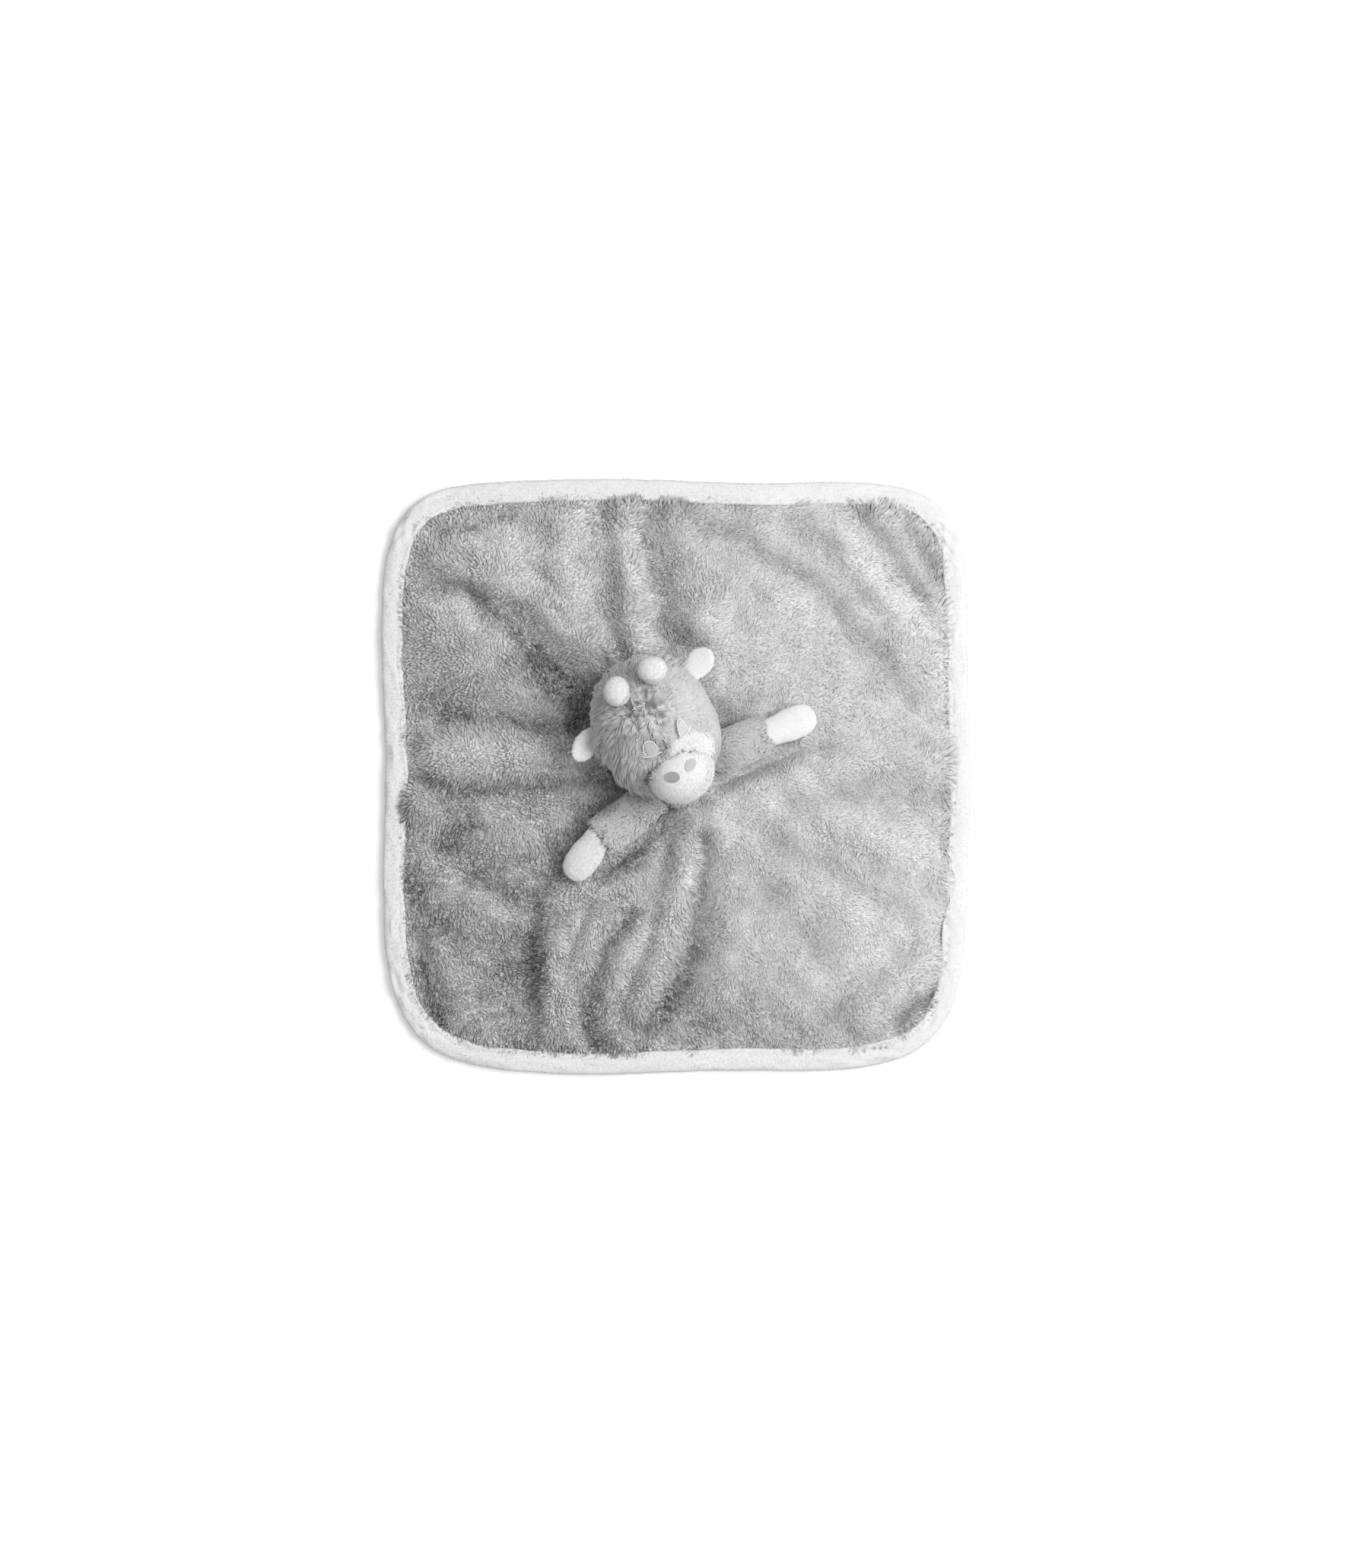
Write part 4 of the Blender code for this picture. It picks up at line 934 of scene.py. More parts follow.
@dataclass
class Blanket:
    """The pile panel, its backing and the binding round both."""

    shape: BlanketShape = field(default_factory=BlanketShape)
    binding_front: float = 0.0130
    binding_back: float = 0.0110
    binding_leg: float = 0.0012
    binding_front_bottom: float = 0.0044
    binding_top: float = 0.0066
    fold_depth: float = 0.0026
    panel_thickness: float = 0.0017
    edge_thickness: float = 0.0009
    pile_room: float = 0.0024
    shoulder: float = 0.0036
    neck_room: float = 0.0004
    panel_lap: float = 0.0015
    panel_dip: float = 0.0006
    backing_step: float = 0.0045
    backing_top: float = 0.0012
    flange_gap: float = 0.0004
    flange_top: float = 0.0025
    flange_bottom: float = 0.0015
    pucker: float = 0.0002
    corner_pucker: float = 0.00035
    brush_calm: float = 0.004
    spokes: int = 320
    rings: int = 56
    sectors: int = 6
    binding_points: int = 640
    backing_points: int = 256
    stitch_pitch: float = 0.0032
    stitch_radius: float = 0.00018
    hang_share: float = 0.47
    bulge: Plan = (-0.164, -0.014)
    # Where the pile is brushed which way: shares of the half sizes, and an angle in degrees.
    sweeps: tuple[Place, ...] = (
        (-0.8, 0.85, 50.0), (-0.9, 0.4, 190.0), (-0.5, 0.55, 62.0), (-0.3, 0.85, 70.0), (0.1, 0.85, 62.0),
        (0.2, 0.5, 40.0), (0.5, 0.8, 50.0), (0.6, 0.4, 22.0), (0.9, 0.6, 20.0), (0.5, 0.05, 12.0),
        (0.9, -0.05, 5.0), (0.5, -0.3, 200.0), (0.85, -0.5, 340.0), (0.6, -0.65, 300.0),
        (0.4, -0.9, 275.0), (0.2, -0.5, 265.0), (-0.05, -0.6, 262.0), (-0.2, -0.9, 262.0),
        (-0.4, -0.6, 235.0), (-0.55, -0.85, 275.0), (-0.8, -0.7, 285.0), (-0.5, -0.3, 225.0),
        (-0.85, -0.35, 215.0), (-0.6, 0.12, 110.0), (-0.6, -0.03, 250.0), (-0.95, -0.05, 200.0),
    )  # fmt: skip
    # Painted shade in the folds' valleys, painted highlights on their backs, and broad painted light and
    # shade: each stroke's points in millimetres, how much lighter or darker it makes the pile, and its
    # width.
    painted_shade_strokes: tuple[tuple[Route, float, float], ...] = (
        (((-135, 143), (-117, 148), (-97, 155)), -0.3, 5),
        (((-143, 111), (-120, 112), (-112, 99), (-100, 91), (-85, 75), (-72, 61), (-58, 48)), -0.42, 6),
        (((-143, 122), (-112, 110), (-85, 88), (-60, 62)), 0.16, 6),
        (((-85, 68), (-66, 48), (-56, 38)), -0.3, 12),
        (((-72, 58), (-55, 30)), -0.24, 10),
        (((-139, 48), (-137, 42)), -0.24, 11),
        (((-135, 36), (-90, 31), (-58, 26)), -0.34, 6),
        (((-144, -2), (-119, -9), (-85, -6), (-40, 2)), -0.34, 5),
        (((-36, -2), (-47, -18), (-60, -31), (-72, -38)), -0.34, 8),
        (((-70, -47), (-75, -67), (-81, -83), (-84, -101), (-81, -130)), -0.34, 6.5),
        (((-89, -112), (-86, -111)), -0.15, 9),
        (((-127, -27), (-123, -27)), -0.28, 8),
        (((-138, -40), (-136, -40)), -0.2, 6),
        (((-119, -58), (-97, -70)), -0.22, 6),
        (((-155, -67), (-144, -83), (-126, -94)), -0.26, 5),
        (((-157, -56), (-154, -80), (-148, -101)), -0.2, 5),
        (((-151, -110), (-144, -135), (-139, -146)), -0.5, 4),
        (((-115, -128), (-97, -135)), -0.14, 7),
        (((-90, -158), (-65, -158)), -0.12, 6),
        (((16, -36), (17, -56), (14, -79), (12, -97), (5, -119), (-4, -133), (-13, -144)), -0.44, 6.5),
        (((10, -105), (-8, -140)), -0.12, 12),
        (((-22, -81), (-36, -90), (-42, -103), (-49, -121), (-53, -135), (-50, -151),
          (-45, -158)), -0.36, 5.5),
        (((0, -20), (-13, -36), (-27, -49), (-45, -58)), -0.36, 6),
        (((23, -2), (37, 0), (50, 5), (59, 9), (68, 17), (90, 18)), -0.22, 5),
        (((75, -15), (156, -11)), -0.14, 8),
        (((7, 156), (18, 145), (37, 144), (52, 129), (68, 125), (88, 111), (100, 95), (113, 79), (129, 66),
          (140, 50)), -0.3, 7.5),
        (((75, 154), (84, 145), (95, 136)), -0.24, 4),
        (((109, 154), (120, 140), (131, 127), (145, 107)), -0.26, 5),
        (((136, 147), (147, 134), (154, 113)), -0.24, 5),
        (((151, 149), (153, 149)), -0.18, 6),
        (((-19, 154), (-18, 136), (-11, 118), (-4, 97), (3, 82)), -0.34, 7),
        (((-2, 84), (14, 78)), -0.22, 8),
        (((-45, 156), (-49, 143), (-53, 129)), -0.2, 6),
        (((-56, 93), (-42, 70)), -0.2, 9),
        (((24, 41), (36, 26)), -0.5, 8),
        (((47, 48), (49, 48)), -0.12, 8),
        (((56, -69), (58, -69)), -0.12, 6),
        (((131, -146), (138, -139), (152, -130)), -0.5, 6),
        (((91, -140), (109, -128), (131, -106), (140, -98)), -0.2, 6),
        (((66, -40), (84, -51), (113, -65), (140, -79)), -0.14, 8),
        (((41, -124), (43, -135)), -0.14, 5),
        (((-145, 14), (-100, 17), (-58, 16)), 0.3, 8),
        (((91, 147), (113, 118), (136, 91), (154, 68)), 0.1, 8),
        (((-30, 158), (-28, 113)), 0.12, 6),
        (((7, -22), (7, -45), (0, -67), (-6, -90), (-13, -112)), 0.14, 6),
        (((23, -45), (25, -67)), 0.14, 6),
        (((-58, -85), (-66, -110), (-72, -135), (-75, -155)), 0.14, 6),
        (((-151, -47), (-128, -63), (-106, -81)), 0.1, 6),
        (((70, 90), (150, 60)), 0.06, 50),
        (((90, -40), (150, -120)), 0.03, 40),
        (((-10, -145), (50, -155)), -0.16, 30),
        (((-100, -110), (-80, -150)), -0.14, 30),
        (((-10, 120), (20, 150)), -0.1, 30),
        (((-150, -30), (-100, -50)), -0.14, 28),
        (((-140, -100), (-120, -140)), -0.08, 20),
        (((90, -40), (150, -60)), 0.1, 20),
        (((100, -110), (150, -100)), 0.1, 20),
        (((-110, 135), (0, 130)), 0.09, 40),
        (((-140, -60), (-100, -100)), -0.04, 30),
        (((-100, -12), (-70, -30)), 0.08, 20),
    )  # fmt: skip

    def edge(self, inset: float, height: Rows | float, count: int) -> Rows:
        """Gives a line that runs inside the blanket's edge.

        Args:
            inset: How far inside it runs.
            height: Its height, one number or one for each point.
            count: How many points it has.

        Returns:
            Rows of three coordinates.
        """
        places, outward = self.shape.outline(count)
        return np.column_stack((places - outward * inset, np.broadcast_to(height, count)))

    def rim(self, plan: Rows) -> Rows:
        """Gives how close places are to the binding: 0 far inside, 1 beside it."""
        return smooth_step(0.885, 0.925, (np.abs(plan / self.shape.halves) ** 6).sum(axis=1) ** (1 / 6))

    def ground_top(self, plan: Rows, edge_share: Rows) -> Rows:
        """Gives the cloth's height under the pile.

        Args:
            plan: Rows of two coordinates.
            edge_share: How close each place is to the binding, 1 at it.

        Returns:
            One height for each row.
        """
        flat = np.column_stack((plan, np.zeros(len(plan))))
        relief = 0.0004 * Ripple(0.030, 5)(flat) + 0.00012 * Ripple(0.009, 6)(flat)
        height = self.shape.top(plan) - self.pile_room
        calm = np.clip((height - self.shape.pile_top + self.pile_room) / 0.003, 0.25, 1.0)
        return height + relief * calm * (1.0 - edge_share)

    def build_ground(self) -> Piece:
        """Makes the folded cloth that carries the pile.

        Returns:
            The sheet.
        """
        neck = np.array(self.shape.neck)
        inner_edge = self.binding_front - self.panel_lap
        level = self.edge(inner_edge + self.shoulder, 0.0, self.spokes)[:, :2] - neck
        hole = unit(level) * (self.shape.neck_radius + self.neck_room)
        top = []
        for share in np.linspace(0.0, 1.0, self.rings):
            plan = neck + hole + (level - hole) * share
            near = np.full(self.spokes, smooth_step(0.93, 1.0, share))
            top.append(np.column_stack((plan, self.ground_top(plan, near))))
        start = top[-1][:, 2]
        for step in (0.35, 0.7, 1.0):
            fall = smooth_step(0.0, 1.0, step)
            height = start * (1 - fall) + (self.binding_front_bottom - self.panel_dip) * fall
            top.append(self.edge(inner_edge + self.shoulder * (1 - step), height, self.spokes))
        under = [ring - UP * self.panel_thickness for ring in top]
        under[-1] = top[-1] - UP * self.edge_thickness
        loops = top + under[::-1]
        faces = ring_faces(len(loops), self.spokes, closed=True)
        ground = mesh_object("blanket_pile_ground", np.vstack(loops), faces)
        GREY_PLUSH.dress(ground, GREY_PLUSH.ground(0.0012, 0.0006), Body.BLANKET.value, "blanket_pile_panel")
        return ground

    def comb(self, places: Rows, outward: Rows) -> Rows:
        """Gives the way the blanket's pile is brushed.

        Args:
            places: The roots.
            outward: The outward directions there.

        Returns:
            A direction for each root.
        """
        plan = places[:, :2]
        total = np.zeros((len(places), 2))
        for across, along, angle in self.sweeps:
            gap = away_from(plan / self.shape.halves, (across, along))
            weight = 1.0 / (gap**3 + self.brush_calm)
            turn = math.radians(angle)
            total += weight[:, None] * np.array([math.cos(turn), math.sin(turn)])
        from_neck = plan - np.array(self.shape.neck)
        near = (1.0 - smooth_step(0.030, 0.085, away_from(plan, self.shape.neck)))[:, None]
        way = unit(total) * (1.0 - near * 0.8) + unit(from_neck) * near * 0.8
        way = way + outward[:, :2] * 1.1 + unit(plan) * self.rim(plan)[:, None] * 1.2
        swirl = 0.55 * Ripple(0.045, 31)(places) + 0.45 * Ripple(0.014, 32)(places)
        cos, sin = np.cos(swirl), np.sin(swirl)
        turned_way = way[:, 0] * cos - way[:, 1] * sin, way[:, 0] * sin + way[:, 1] * cos
        return np.column_stack((*turned_way, np.zeros(len(places))))

    def shade(self, places: Rows) -> Rows:
        """Paints shade into the pile's tone in the folds' valleys and highlights on their backs, with broad
        painted light and shade.

        Args:
            places: The roots.

        Returns:
            A share of the full tone for each root.
        """
        total = np.ones(len(places))
        # Each stroke adds painted shade or a painted highlight to the tone.
        for route, amount, width in self.painted_shade_strokes:
            total += amount * bell(route_gap(places[:, :2], np.array(route) * MM), width * MM)
        return np.clip(total + 0.04 * Ripple(0.02, 45)(places), 0.45, 1.25)

    def pile_size(self, places: Rows) -> Rows:
        """Makes the pile uneven, and longer where it hangs over the binding.

        Args:
            places: The roots.

        Returns:
            A share of the full length for each root.
        """
        hang = self.shape.length * self.hang_share
        length = 1.0 + 0.14 * Ripple(0.022, 41)(places) + 0.10 * Ripple(0.007, 42)(places)
        top = smooth_step(hang - 0.020, hang - 0.012, places[:, 1]) * (places[:, 0] > -0.095)
        side = bell(away_from(places[:, :2], self.bulge), 0.010)
        rim = self.rim(places[:, :2]) * (0.35 + 0.35 * (places[:, 0] > 0.10))
        near = away_from(places[:, :2], self.shape.neck)
        return length + 0.15 * top + rim + 1.0 * side + 0.5 * smooth_step(0.024, 0.012, near)

    def pile_ruffle(self, places: Rows) -> Rows:
        """Makes the pile smooth at the right, and parted into locks at the left and below.

        Args:
            places: The roots.

        Returns:
            A share of the style's roughness for each root.
        """
        left = smooth_step(0.050, -0.050, places[:, 0])
        low = smooth_step(-0.090, -0.150, places[:, 1])
        rough = 0.80 + 0.75 * left + 0.35 * low + 0.25 * Ripple(0.026, 43)(places)
        return np.clip(rough, 0.6, 2.0) + self.rim(places[:, :2]) * (0.4 + 0.5 * (places[:, 0] > 0.10))

    def build_pile(self, ground: Piece) -> list[Piece]:
        """Grows the long pile, sector by sector.

        Args:
            ground: The cloth that carries it.

        Returns:
            The coats.
        """
        coats = []
        for sector in range(self.sectors):

            def keep(places: Rows, sector: int = sector) -> Rows:
                """Keeps the roots of one sector."""
                angle = np.arctan2(places[:, 1], places[:, 0]) / (2 * math.pi) + 0.5
                return (np.floor(angle * self.sectors * 0.99999) == sector).astype(float)

            looks = (self.comb, keep, self.pile_size, self.shade, self.pile_ruffle)
            pile = Pile(LONG_PILE, GREY_PLUSH, 100 + sector * 10)
            name = f"blanket_pile_{sector + 1}"
            coats.append(pile.grow(name, ground, Body.BLANKET.value, *looks, upper_only=True))
        return coats

    def build_binding(self) -> Piece:
        """Makes the strip folded round the edge, with its fold, its stitched groove and its puckers.

        Returns:
            The binding.
        """
        front, back, leg, fold = self.binding_front, self.binding_back, self.binding_leg, self.fold_depth
        top, bottom = self.binding_top, self.binding_front_bottom
        crown = top - bottom
        # Once round the section: how far inside the edge, how high, and how much it waves.
        section = (
            (back, 0.0, 0.0), (back * 0.5, 0.0, 0.0), (fold * 0.9, 0.0, 0.0), (fold * 0.35, 0.0003, 0.2),
            (fold * 0.08, 0.0012, 0.5), (0.0, 0.0027, 0.8), (fold * 0.12, top - crown * 0.75, 1.0),
            (fold * 0.5, top - crown * 0.32, 1.0), (fold * 1.1, top - crown * 0.10, 1.0),
            (front * 0.34, top, 1.0), (front * 0.50, top + 0.0001, 1.0),
            (front * 0.64, top - crown * 0.04, 1.0), (front * 0.70, top - crown * 0.10, 0.8),
            (front * 0.76, top - crown * 0.20, 0.6), (front * 0.82, top - crown * 0.12, 0.8),
            (front * 0.88, top - crown * 0.10, 1.0), (front * 0.94, top - crown * 0.22, 0.8),
            (front * 0.985, top - crown * 0.60, 0.4), (front * 0.99, bottom, 0.0),
            (front * 0.5, bottom, 0.0), (fold, bottom, 0.0), (fold, leg, 0.0),
            (back * 0.5, leg, 0.0), (back, leg, 0.0),
        )  # fmt: skip
        places, outward = self.shape.outline(self.binding_points)
        bend = np.linalg.norm(np.roll(outward, -3, axis=0) - np.roll(outward, 3, axis=0), axis=1)
        spot = np.column_stack((places, np.zeros(self.binding_points)))
        deep = self.pucker + self.corner_pucker * smooth_step(0.02, 0.12, bend)
        pucker = Ripple(0.011, 71)(spot) * deep
        swell = Ripple(0.045, 72)(spot) * 0.0006
        loops = []
        for inset, height, share in section:
            drift = Ripple(0.030, 73)(spot + inset * 3) * 0.0005 * (0.3 + share)
            wander = np.where(inset > fold, drift, drift * 0.3)
            plan = places - outward * (inset + np.maximum(wander, -inset))[:, None]
            lifted = height + share * (pucker * math.sin(inset * 900.0 + 1.0) + swell * 0.5)
            loops.append(np.column_stack((plan, np.maximum(lifted, 0.0))))
        faces = ring_faces(len(section), self.binding_points, closed=True, flipped=True)
        binding = mesh_object("binding_strip", np.vstack(loops), faces)
        cloth = BINDING_PLUSH.ground(0.0010, 0.0003)
        BINDING_PLUSH.dress(binding, cloth, Body.BLANKET.value, "blanket_binding")
        return binding

    def build_binding_nap(self, binding: Piece) -> Piece:
        """Grows the binding's short nap.

        Args:
            binding: The strip that carries it.

        Returns:
            The nap.
        """

        def comb(places: Rows, outward: Rows) -> Rows:
            """Brushes the nap outwards and a little along the strip."""
            away = unit(places * (1.0 - UP))
            return away + np.cross(UP, away) * 0.6 * Ripple(0.05, 75)(places)[:, None]

        def keep(places: Rows) -> Rows:
            """Keeps the nap to the strip's outer faces."""
            inner = np.abs(places[:, 2] - self.binding_front_bottom) < 0.0006
            return np.where(inner | (places[:, 2] < 0.0016), 0.0, 1.0)

        pile = Pile(EDGE_NAP, BINDING_PLUSH, 300)
        return pile.grow("binding_nap", binding, Body.BLANKET.value, comb, keep)

    def build_backing(self) -> Piece:
        """Makes the backing panel, a flat short-pile cloth whose edge steps up into the binding.

        Returns:
            The sheet.
        """
        count = self.backing_points
        step_out = self.binding_front + self.backing_step
        flange = self.fold_depth + self.flange_gap
        steps = (
            (step_out, self.backing_top), (self.binding_front, self.flange_top), (flange, self.flange_top),
            (flange, self.flange_bottom), (self.binding_back + self.flange_gap, self.flange_bottom),
            (step_out, 0.0),
        )  # fmt: skip
        shrunk = [np.array([share, share, 1.0]) for share in (0.002, 0.25, 0.5, 0.75)]
        rings = [self.edge(step_out, self.backing_top, count) * share for share in shrunk]
        rings += [self.edge(inset, height, count) for inset, height in steps]
        rings += [self.edge(step_out, 0.0, count) * share for share in shrunk[::-1]]
        backing = mesh_object("blanket_backing_cloth", np.vstack(rings), ring_faces(len(rings), count))
        closing = bmesh.new()
        closing.from_mesh(backing.data)
        bmesh.ops.holes_fill(closing, edges=[edge for edge in closing.edges if edge.is_boundary])
        bmesh.ops.recalc_face_normals(closing, faces=closing.faces)
        closing.to_mesh(backing.data)
        closing.free()
        backing.data.shade_smooth()
        cloth = WHITE_PLUSH.ground(0.0014, 0.0006)
        WHITE_PLUSH.dress(backing, cloth, Body.BLANKET.value, "blanket_backing_panel")
        return backing

    def build_stitches(self) -> Piece:
        """Makes the row of machine stitches in the binding's groove.

        Returns:
            The stitches.
        """
        places, _ = self.shape.outline(64)
        around = np.linalg.norm(np.roll(places, -1, axis=0) - places, axis=1).sum()
        count = int(around / self.stitch_pitch)
        height = self.binding_top - (self.binding_top - self.binding_front_bottom) * 0.18
        line = self.edge(self.binding_front * 0.76, height, count)
        run = unit(np.roll(line, -1, axis=0) - np.roll(line, 1, axis=0))
        across = unit(np.cross(run, UP))
        sections = ((-0.40, 0.25), (-0.30, 0.9), (0.0, 1.0), (0.30, 0.9), (0.40, 0.25))
        rings = []
        for share, thick in sections:
            for turn in range(6):
                angle = 2 * math.pi * turn / 6
                offset = across * math.cos(angle) + UP * math.sin(angle)
                rings.append(line + run * self.stitch_pitch * share + offset * self.stitch_radius * thick)
        points = np.stack(rings, axis=1)
        pattern = halved(ring_faces(len(sections), 6, flipped=True)).tolist()
        last = 6 * (len(sections) - 1)
        for turn in range(1, 5):
            pattern += [(0, turn + 1, turn), (last, last + turn, last + turn + 1)]
        faces = np.arange(count)[:, None, None] * len(rings) + np.array(pattern)[None]
        stitches = mesh_object("binding_stitches", points.reshape(-1, 3), faces.reshape(-1, 3))
        WHITE_THREAD.dress(stitches, WHITE_THREAD.material(), Body.BLANKET.value)
        return stitches

    def build(self) -> None:
        ground = self.build_ground()
        coats = self.build_pile(ground)
        binding = self.build_binding()
        nap = self.build_binding_nap(binding)
        stitches = self.build_stitches()
        backing = self.build_backing()
        LOG.info("blanket: %s", ", ".join([ground.name, binding.name, backing.name]))


# The head


@dataclass
class Head:
    """The stuffed head with its muzzle, ears, horns and embroidery."""

    size: HeadSize = HeadSize()
    whorl: Place = (-0.0019, 0.0141, 0.0330)
    muzzle: Place = (-0.0033, -0.0305, 0.0170)
    muzzle_halves: Place = (0.0195, 0.0175, 0.0180)
    muzzle_lap: float = 0.002
    thread_rise: float = 0.0003
    eye_places: tuple[Plan, ...] = ((-0.0112, -0.0095), (0.0110, -0.0095))
    ear_roots: tuple[Plan, ...] = ((-0.0486, 0.0234), (0.0099, 0.0626))
    ear_tuck: float = 0.0020
    bridge: Route = ((-0.004, -0.023), (0.006, -0.020), (0.013, -0.022))
    eye_dent: Plan = (0.0018, 0.006)
    nose_fold: Route = ((-0.0022, -0.0100), (-0.0030, -0.0130), (-0.0085, -0.0140))
    fold_dent: Plan = (0.0022, 0.0022)
    back_edge: float = -0.006
    locks_edge: float = -0.010
    # Painted shade in the creases beside the eyes and along the muzzle: each crease's points in the face's
    # plan, how much darker it makes the fur, and its width.
    painted_crease_shade: tuple[tuple[Route, float, float], ...] = (
        (((-0.0035, -0.0085), (-0.0026, -0.0134), (-0.0043, -0.0152), (-0.0076, -0.0155)), -0.45, 0.0018),
        (((-0.0185, -0.0156), (-0.0208, -0.0173), (-0.0214, -0.0210)), -0.30, 0.0018),
        (((-0.0176, -0.0200), (-0.0205, -0.0236), (-0.0220, -0.0274), (-0.0225, -0.0321)), -0.40, 0.0022),
        (((-0.0120, -0.0190), (-0.0176, -0.0200)), -0.20, 0.0020),
        (((0.0180, -0.0100), (0.0230, -0.0170)), -0.12, 0.0020),
    )

    def build_skull(self) -> Piece:
        """Makes the stuffed head, with the dents that the stitching pulls in.

        Returns:
            The padded head.
        """
        nodes = ("head_front_cover", "head_back_cover", "head_stuffing")
        padding = Padding("head_padding", nodes, grain=0.0022, inset=0.0022, plump=0.0010)
        skull = padding.build()
        places = vertex_places(skull)
        own = self.size.own(places)
        outward = unit(own / np.array(self.size.halves) ** 2)
        (eye_deep, eye_wide), (fold_deep, fold_wide) = self.eye_dent, self.fold_dent
        dent = np.zeros(len(own))
        for eye in self.eye_places:
            dent += eye_deep * bell(away_from(own[:, :2], eye), eye_wide)
        dent += fold_deep * bell(route_gap(own[:, :2], self.nose_fold), fold_wide)
        dent *= smooth_step(0.0, 0.02, own[:, 2])
        move_vertices(skull, places - self.size.world(outward * dent[:, None]))
        padding.dress(skull, GREY_PLUSH, Body.HEAD.value, 0.85)
        return skull

    def fur_comb(self, places: Rows, outward: Rows) -> Rows:
        """Brushes the head's fur outwards from the whorl on the forehead.

        Args:
            places: The roots.
            outward: The outward directions there.

        Returns:
            A direction for each root.
        """
        own = self.size.own(places)
        from_whorl = own - np.array(self.whorl)
        droop = np.array([0.0, -0.55, -0.25]) * smooth_step(0.005, -0.02, own[:, 0])[:, None]
        curl = bell(np.linalg.norm(from_whorl, axis=1), 0.013)
        swirl = 0.4 * Ripple(0.020, 131)(places) + 2.2 * curl * Ripple(0.006, 132)(places)
        across = np.cross(outward, self.size.world(unit(from_whorl)))
        return self.size.world(unit(from_whorl) + droop) + across * swirl[:, None]

    def bridge_comb(self, places: Rows, outward: Rows) -> Rows:
        """Brushes the pale hair of the bridge down over the muzzle's rim.

        Args:
            places: The roots.
            outward: The outward directions there.

        Returns:
            A direction for each root.
        """
        aside = self.size.own(places)[:, 0] * 12.0 - 0.10
        down = np.column_stack((aside, np.full(len(aside), -1.0), np.zeros(len(aside))))
        return self.size.world(down) + outward * 0.3

    def fur_size(self, places: Rows) -> Rows:
        """Makes the fur long on the left cheek, and short at the eyes and in the whorl.

        Args:
            places: The roots.

        Returns:
            A share of the full length for each root.
        """
        own = self.size.own(places)
        cheek = smooth_step(-0.004, -0.024, own[:, 0]) * smooth_step(0.022, -0.002, own[:, 1])
        length = 0.86 + 0.45 * cheek + 0.12 * Ripple(0.012, 141)(places)
        for eye in self.eye_places:
            open_share = 0.22 + 0.78 * smooth_step(0.0035, 0.0095, away_from(own[:, :2], eye))
            length *= np.where(own[:, 2] > 0, open_share, 1.0)
        rim = np.linalg.norm((own - np.array(self.muzzle)) / np.array(self.muzzle_halves), axis=1)
        length *= 0.35 + 0.65 * smooth_step(1.0, 1.45, rim)
        for root in self.ear_roots:
            length *= 1.0 + 0.7 * bell(away_from(places[:, :2], root), 0.009)
        return length * (0.60 + 0.40 * smooth_step(0.003, 0.016, away_from(own, self.whorl)))

    def fur_shade(self, places: Rows) -> Rows:
        """Paints shade into the fur in its creases; makes the fur dark and mottled in the whorl, darker on
        the face's left side and lighter on its right.

        Args:
            places: The roots.

        Returns:
            A share of the full tone for each root.
        """
        own = self.size.own(places)
        front = smooth_step(-0.002, 0.008, own[:, 2])
        total = np.ones(len(own))
        # Painted shade in the creases, on the face's front.
        for route, amount, width in self.painted_crease_shade:
            total += front * amount * bell(route_gap(own[:, :2], route), width)
        total -= bell(away_from(own, self.whorl), 0.014) * (0.30 + 0.34 * Ripple(0.0040, 143)(places))
        total -= 0.10 * smooth_step(0.0, -0.020, own[:, 0])
        return np.clip(total + 0.06 * smooth_step(0.004, 0.020, own[:, 0]), 0.4, 1.2)

    def clear(self, own: Rows, lowest: float) -> Rows:
        """Tells which places lie higher than lowest and aren't under the muzzle."""
        inside = (own - np.array(self.muzzle)) / (np.array(self.muzzle_halves) - self.muzzle_lap)
        return (own[:, 2] > lowest) & ((inside**2).sum(axis=1) >= 1.0)

    def build_fur(self, skull: Piece) -> None:
        """Grows the fur of the face and of the back of the head, and the pale hair of the bridge.

        Args:
            skull: The padded head.
        """

        def pale(own: Rows) -> Rows:
            """Gives how much of the hair between the eyes and the muzzle is pale."""
            return smooth_step(0.0105, 0.0045, route_gap(own[:, :2], self.bridge)) * (own[:, 2] > 0.0)

        def half(places: Rows, left: bool) -> Rows:
            """Keeps one half of the face, less what the muzzle covers.

            Args:
                places: The roots.
                left: Whether it is the left half.

            Returns:
                The share of the full density at each root.
            """
            own = self.size.own(places)
            side = (own[:, 0] < 0.0) == left
            return np.where(self.clear(own, self.back_edge) & side, 1.0 - pale(own), 0.0)

        def back(places: Rows) -> Rows:
            """Keeps the side that lies on the blanket."""
            return np.where(self.size.own(places)[:, 2] <= self.back_edge, 1.0, 0.0)

        def bridge(places: Rows) -> Rows:
            """Keeps the bridge of the nose."""
            own = self.size.own(places)
            return np.where(self.clear(own, self.back_edge), pale(own), 0.0)

        def cheek(places: Rows) -> Rows:
            """Keeps the left cheek and the crown, where the locks are long.

            Args:
                places: The roots.

            Returns:
                The share of the full density at each root.
            """
            own = self.size.own(places)
            side = smooth_step(-0.008, -0.020, own[:, 0]) * (own[:, 1] < 0.020)
            crown = smooth_step(0.018, 0.030, own[:, 1]) * 0.6
            return np.maximum(side, crown) * self.clear(own, self.locks_edge)

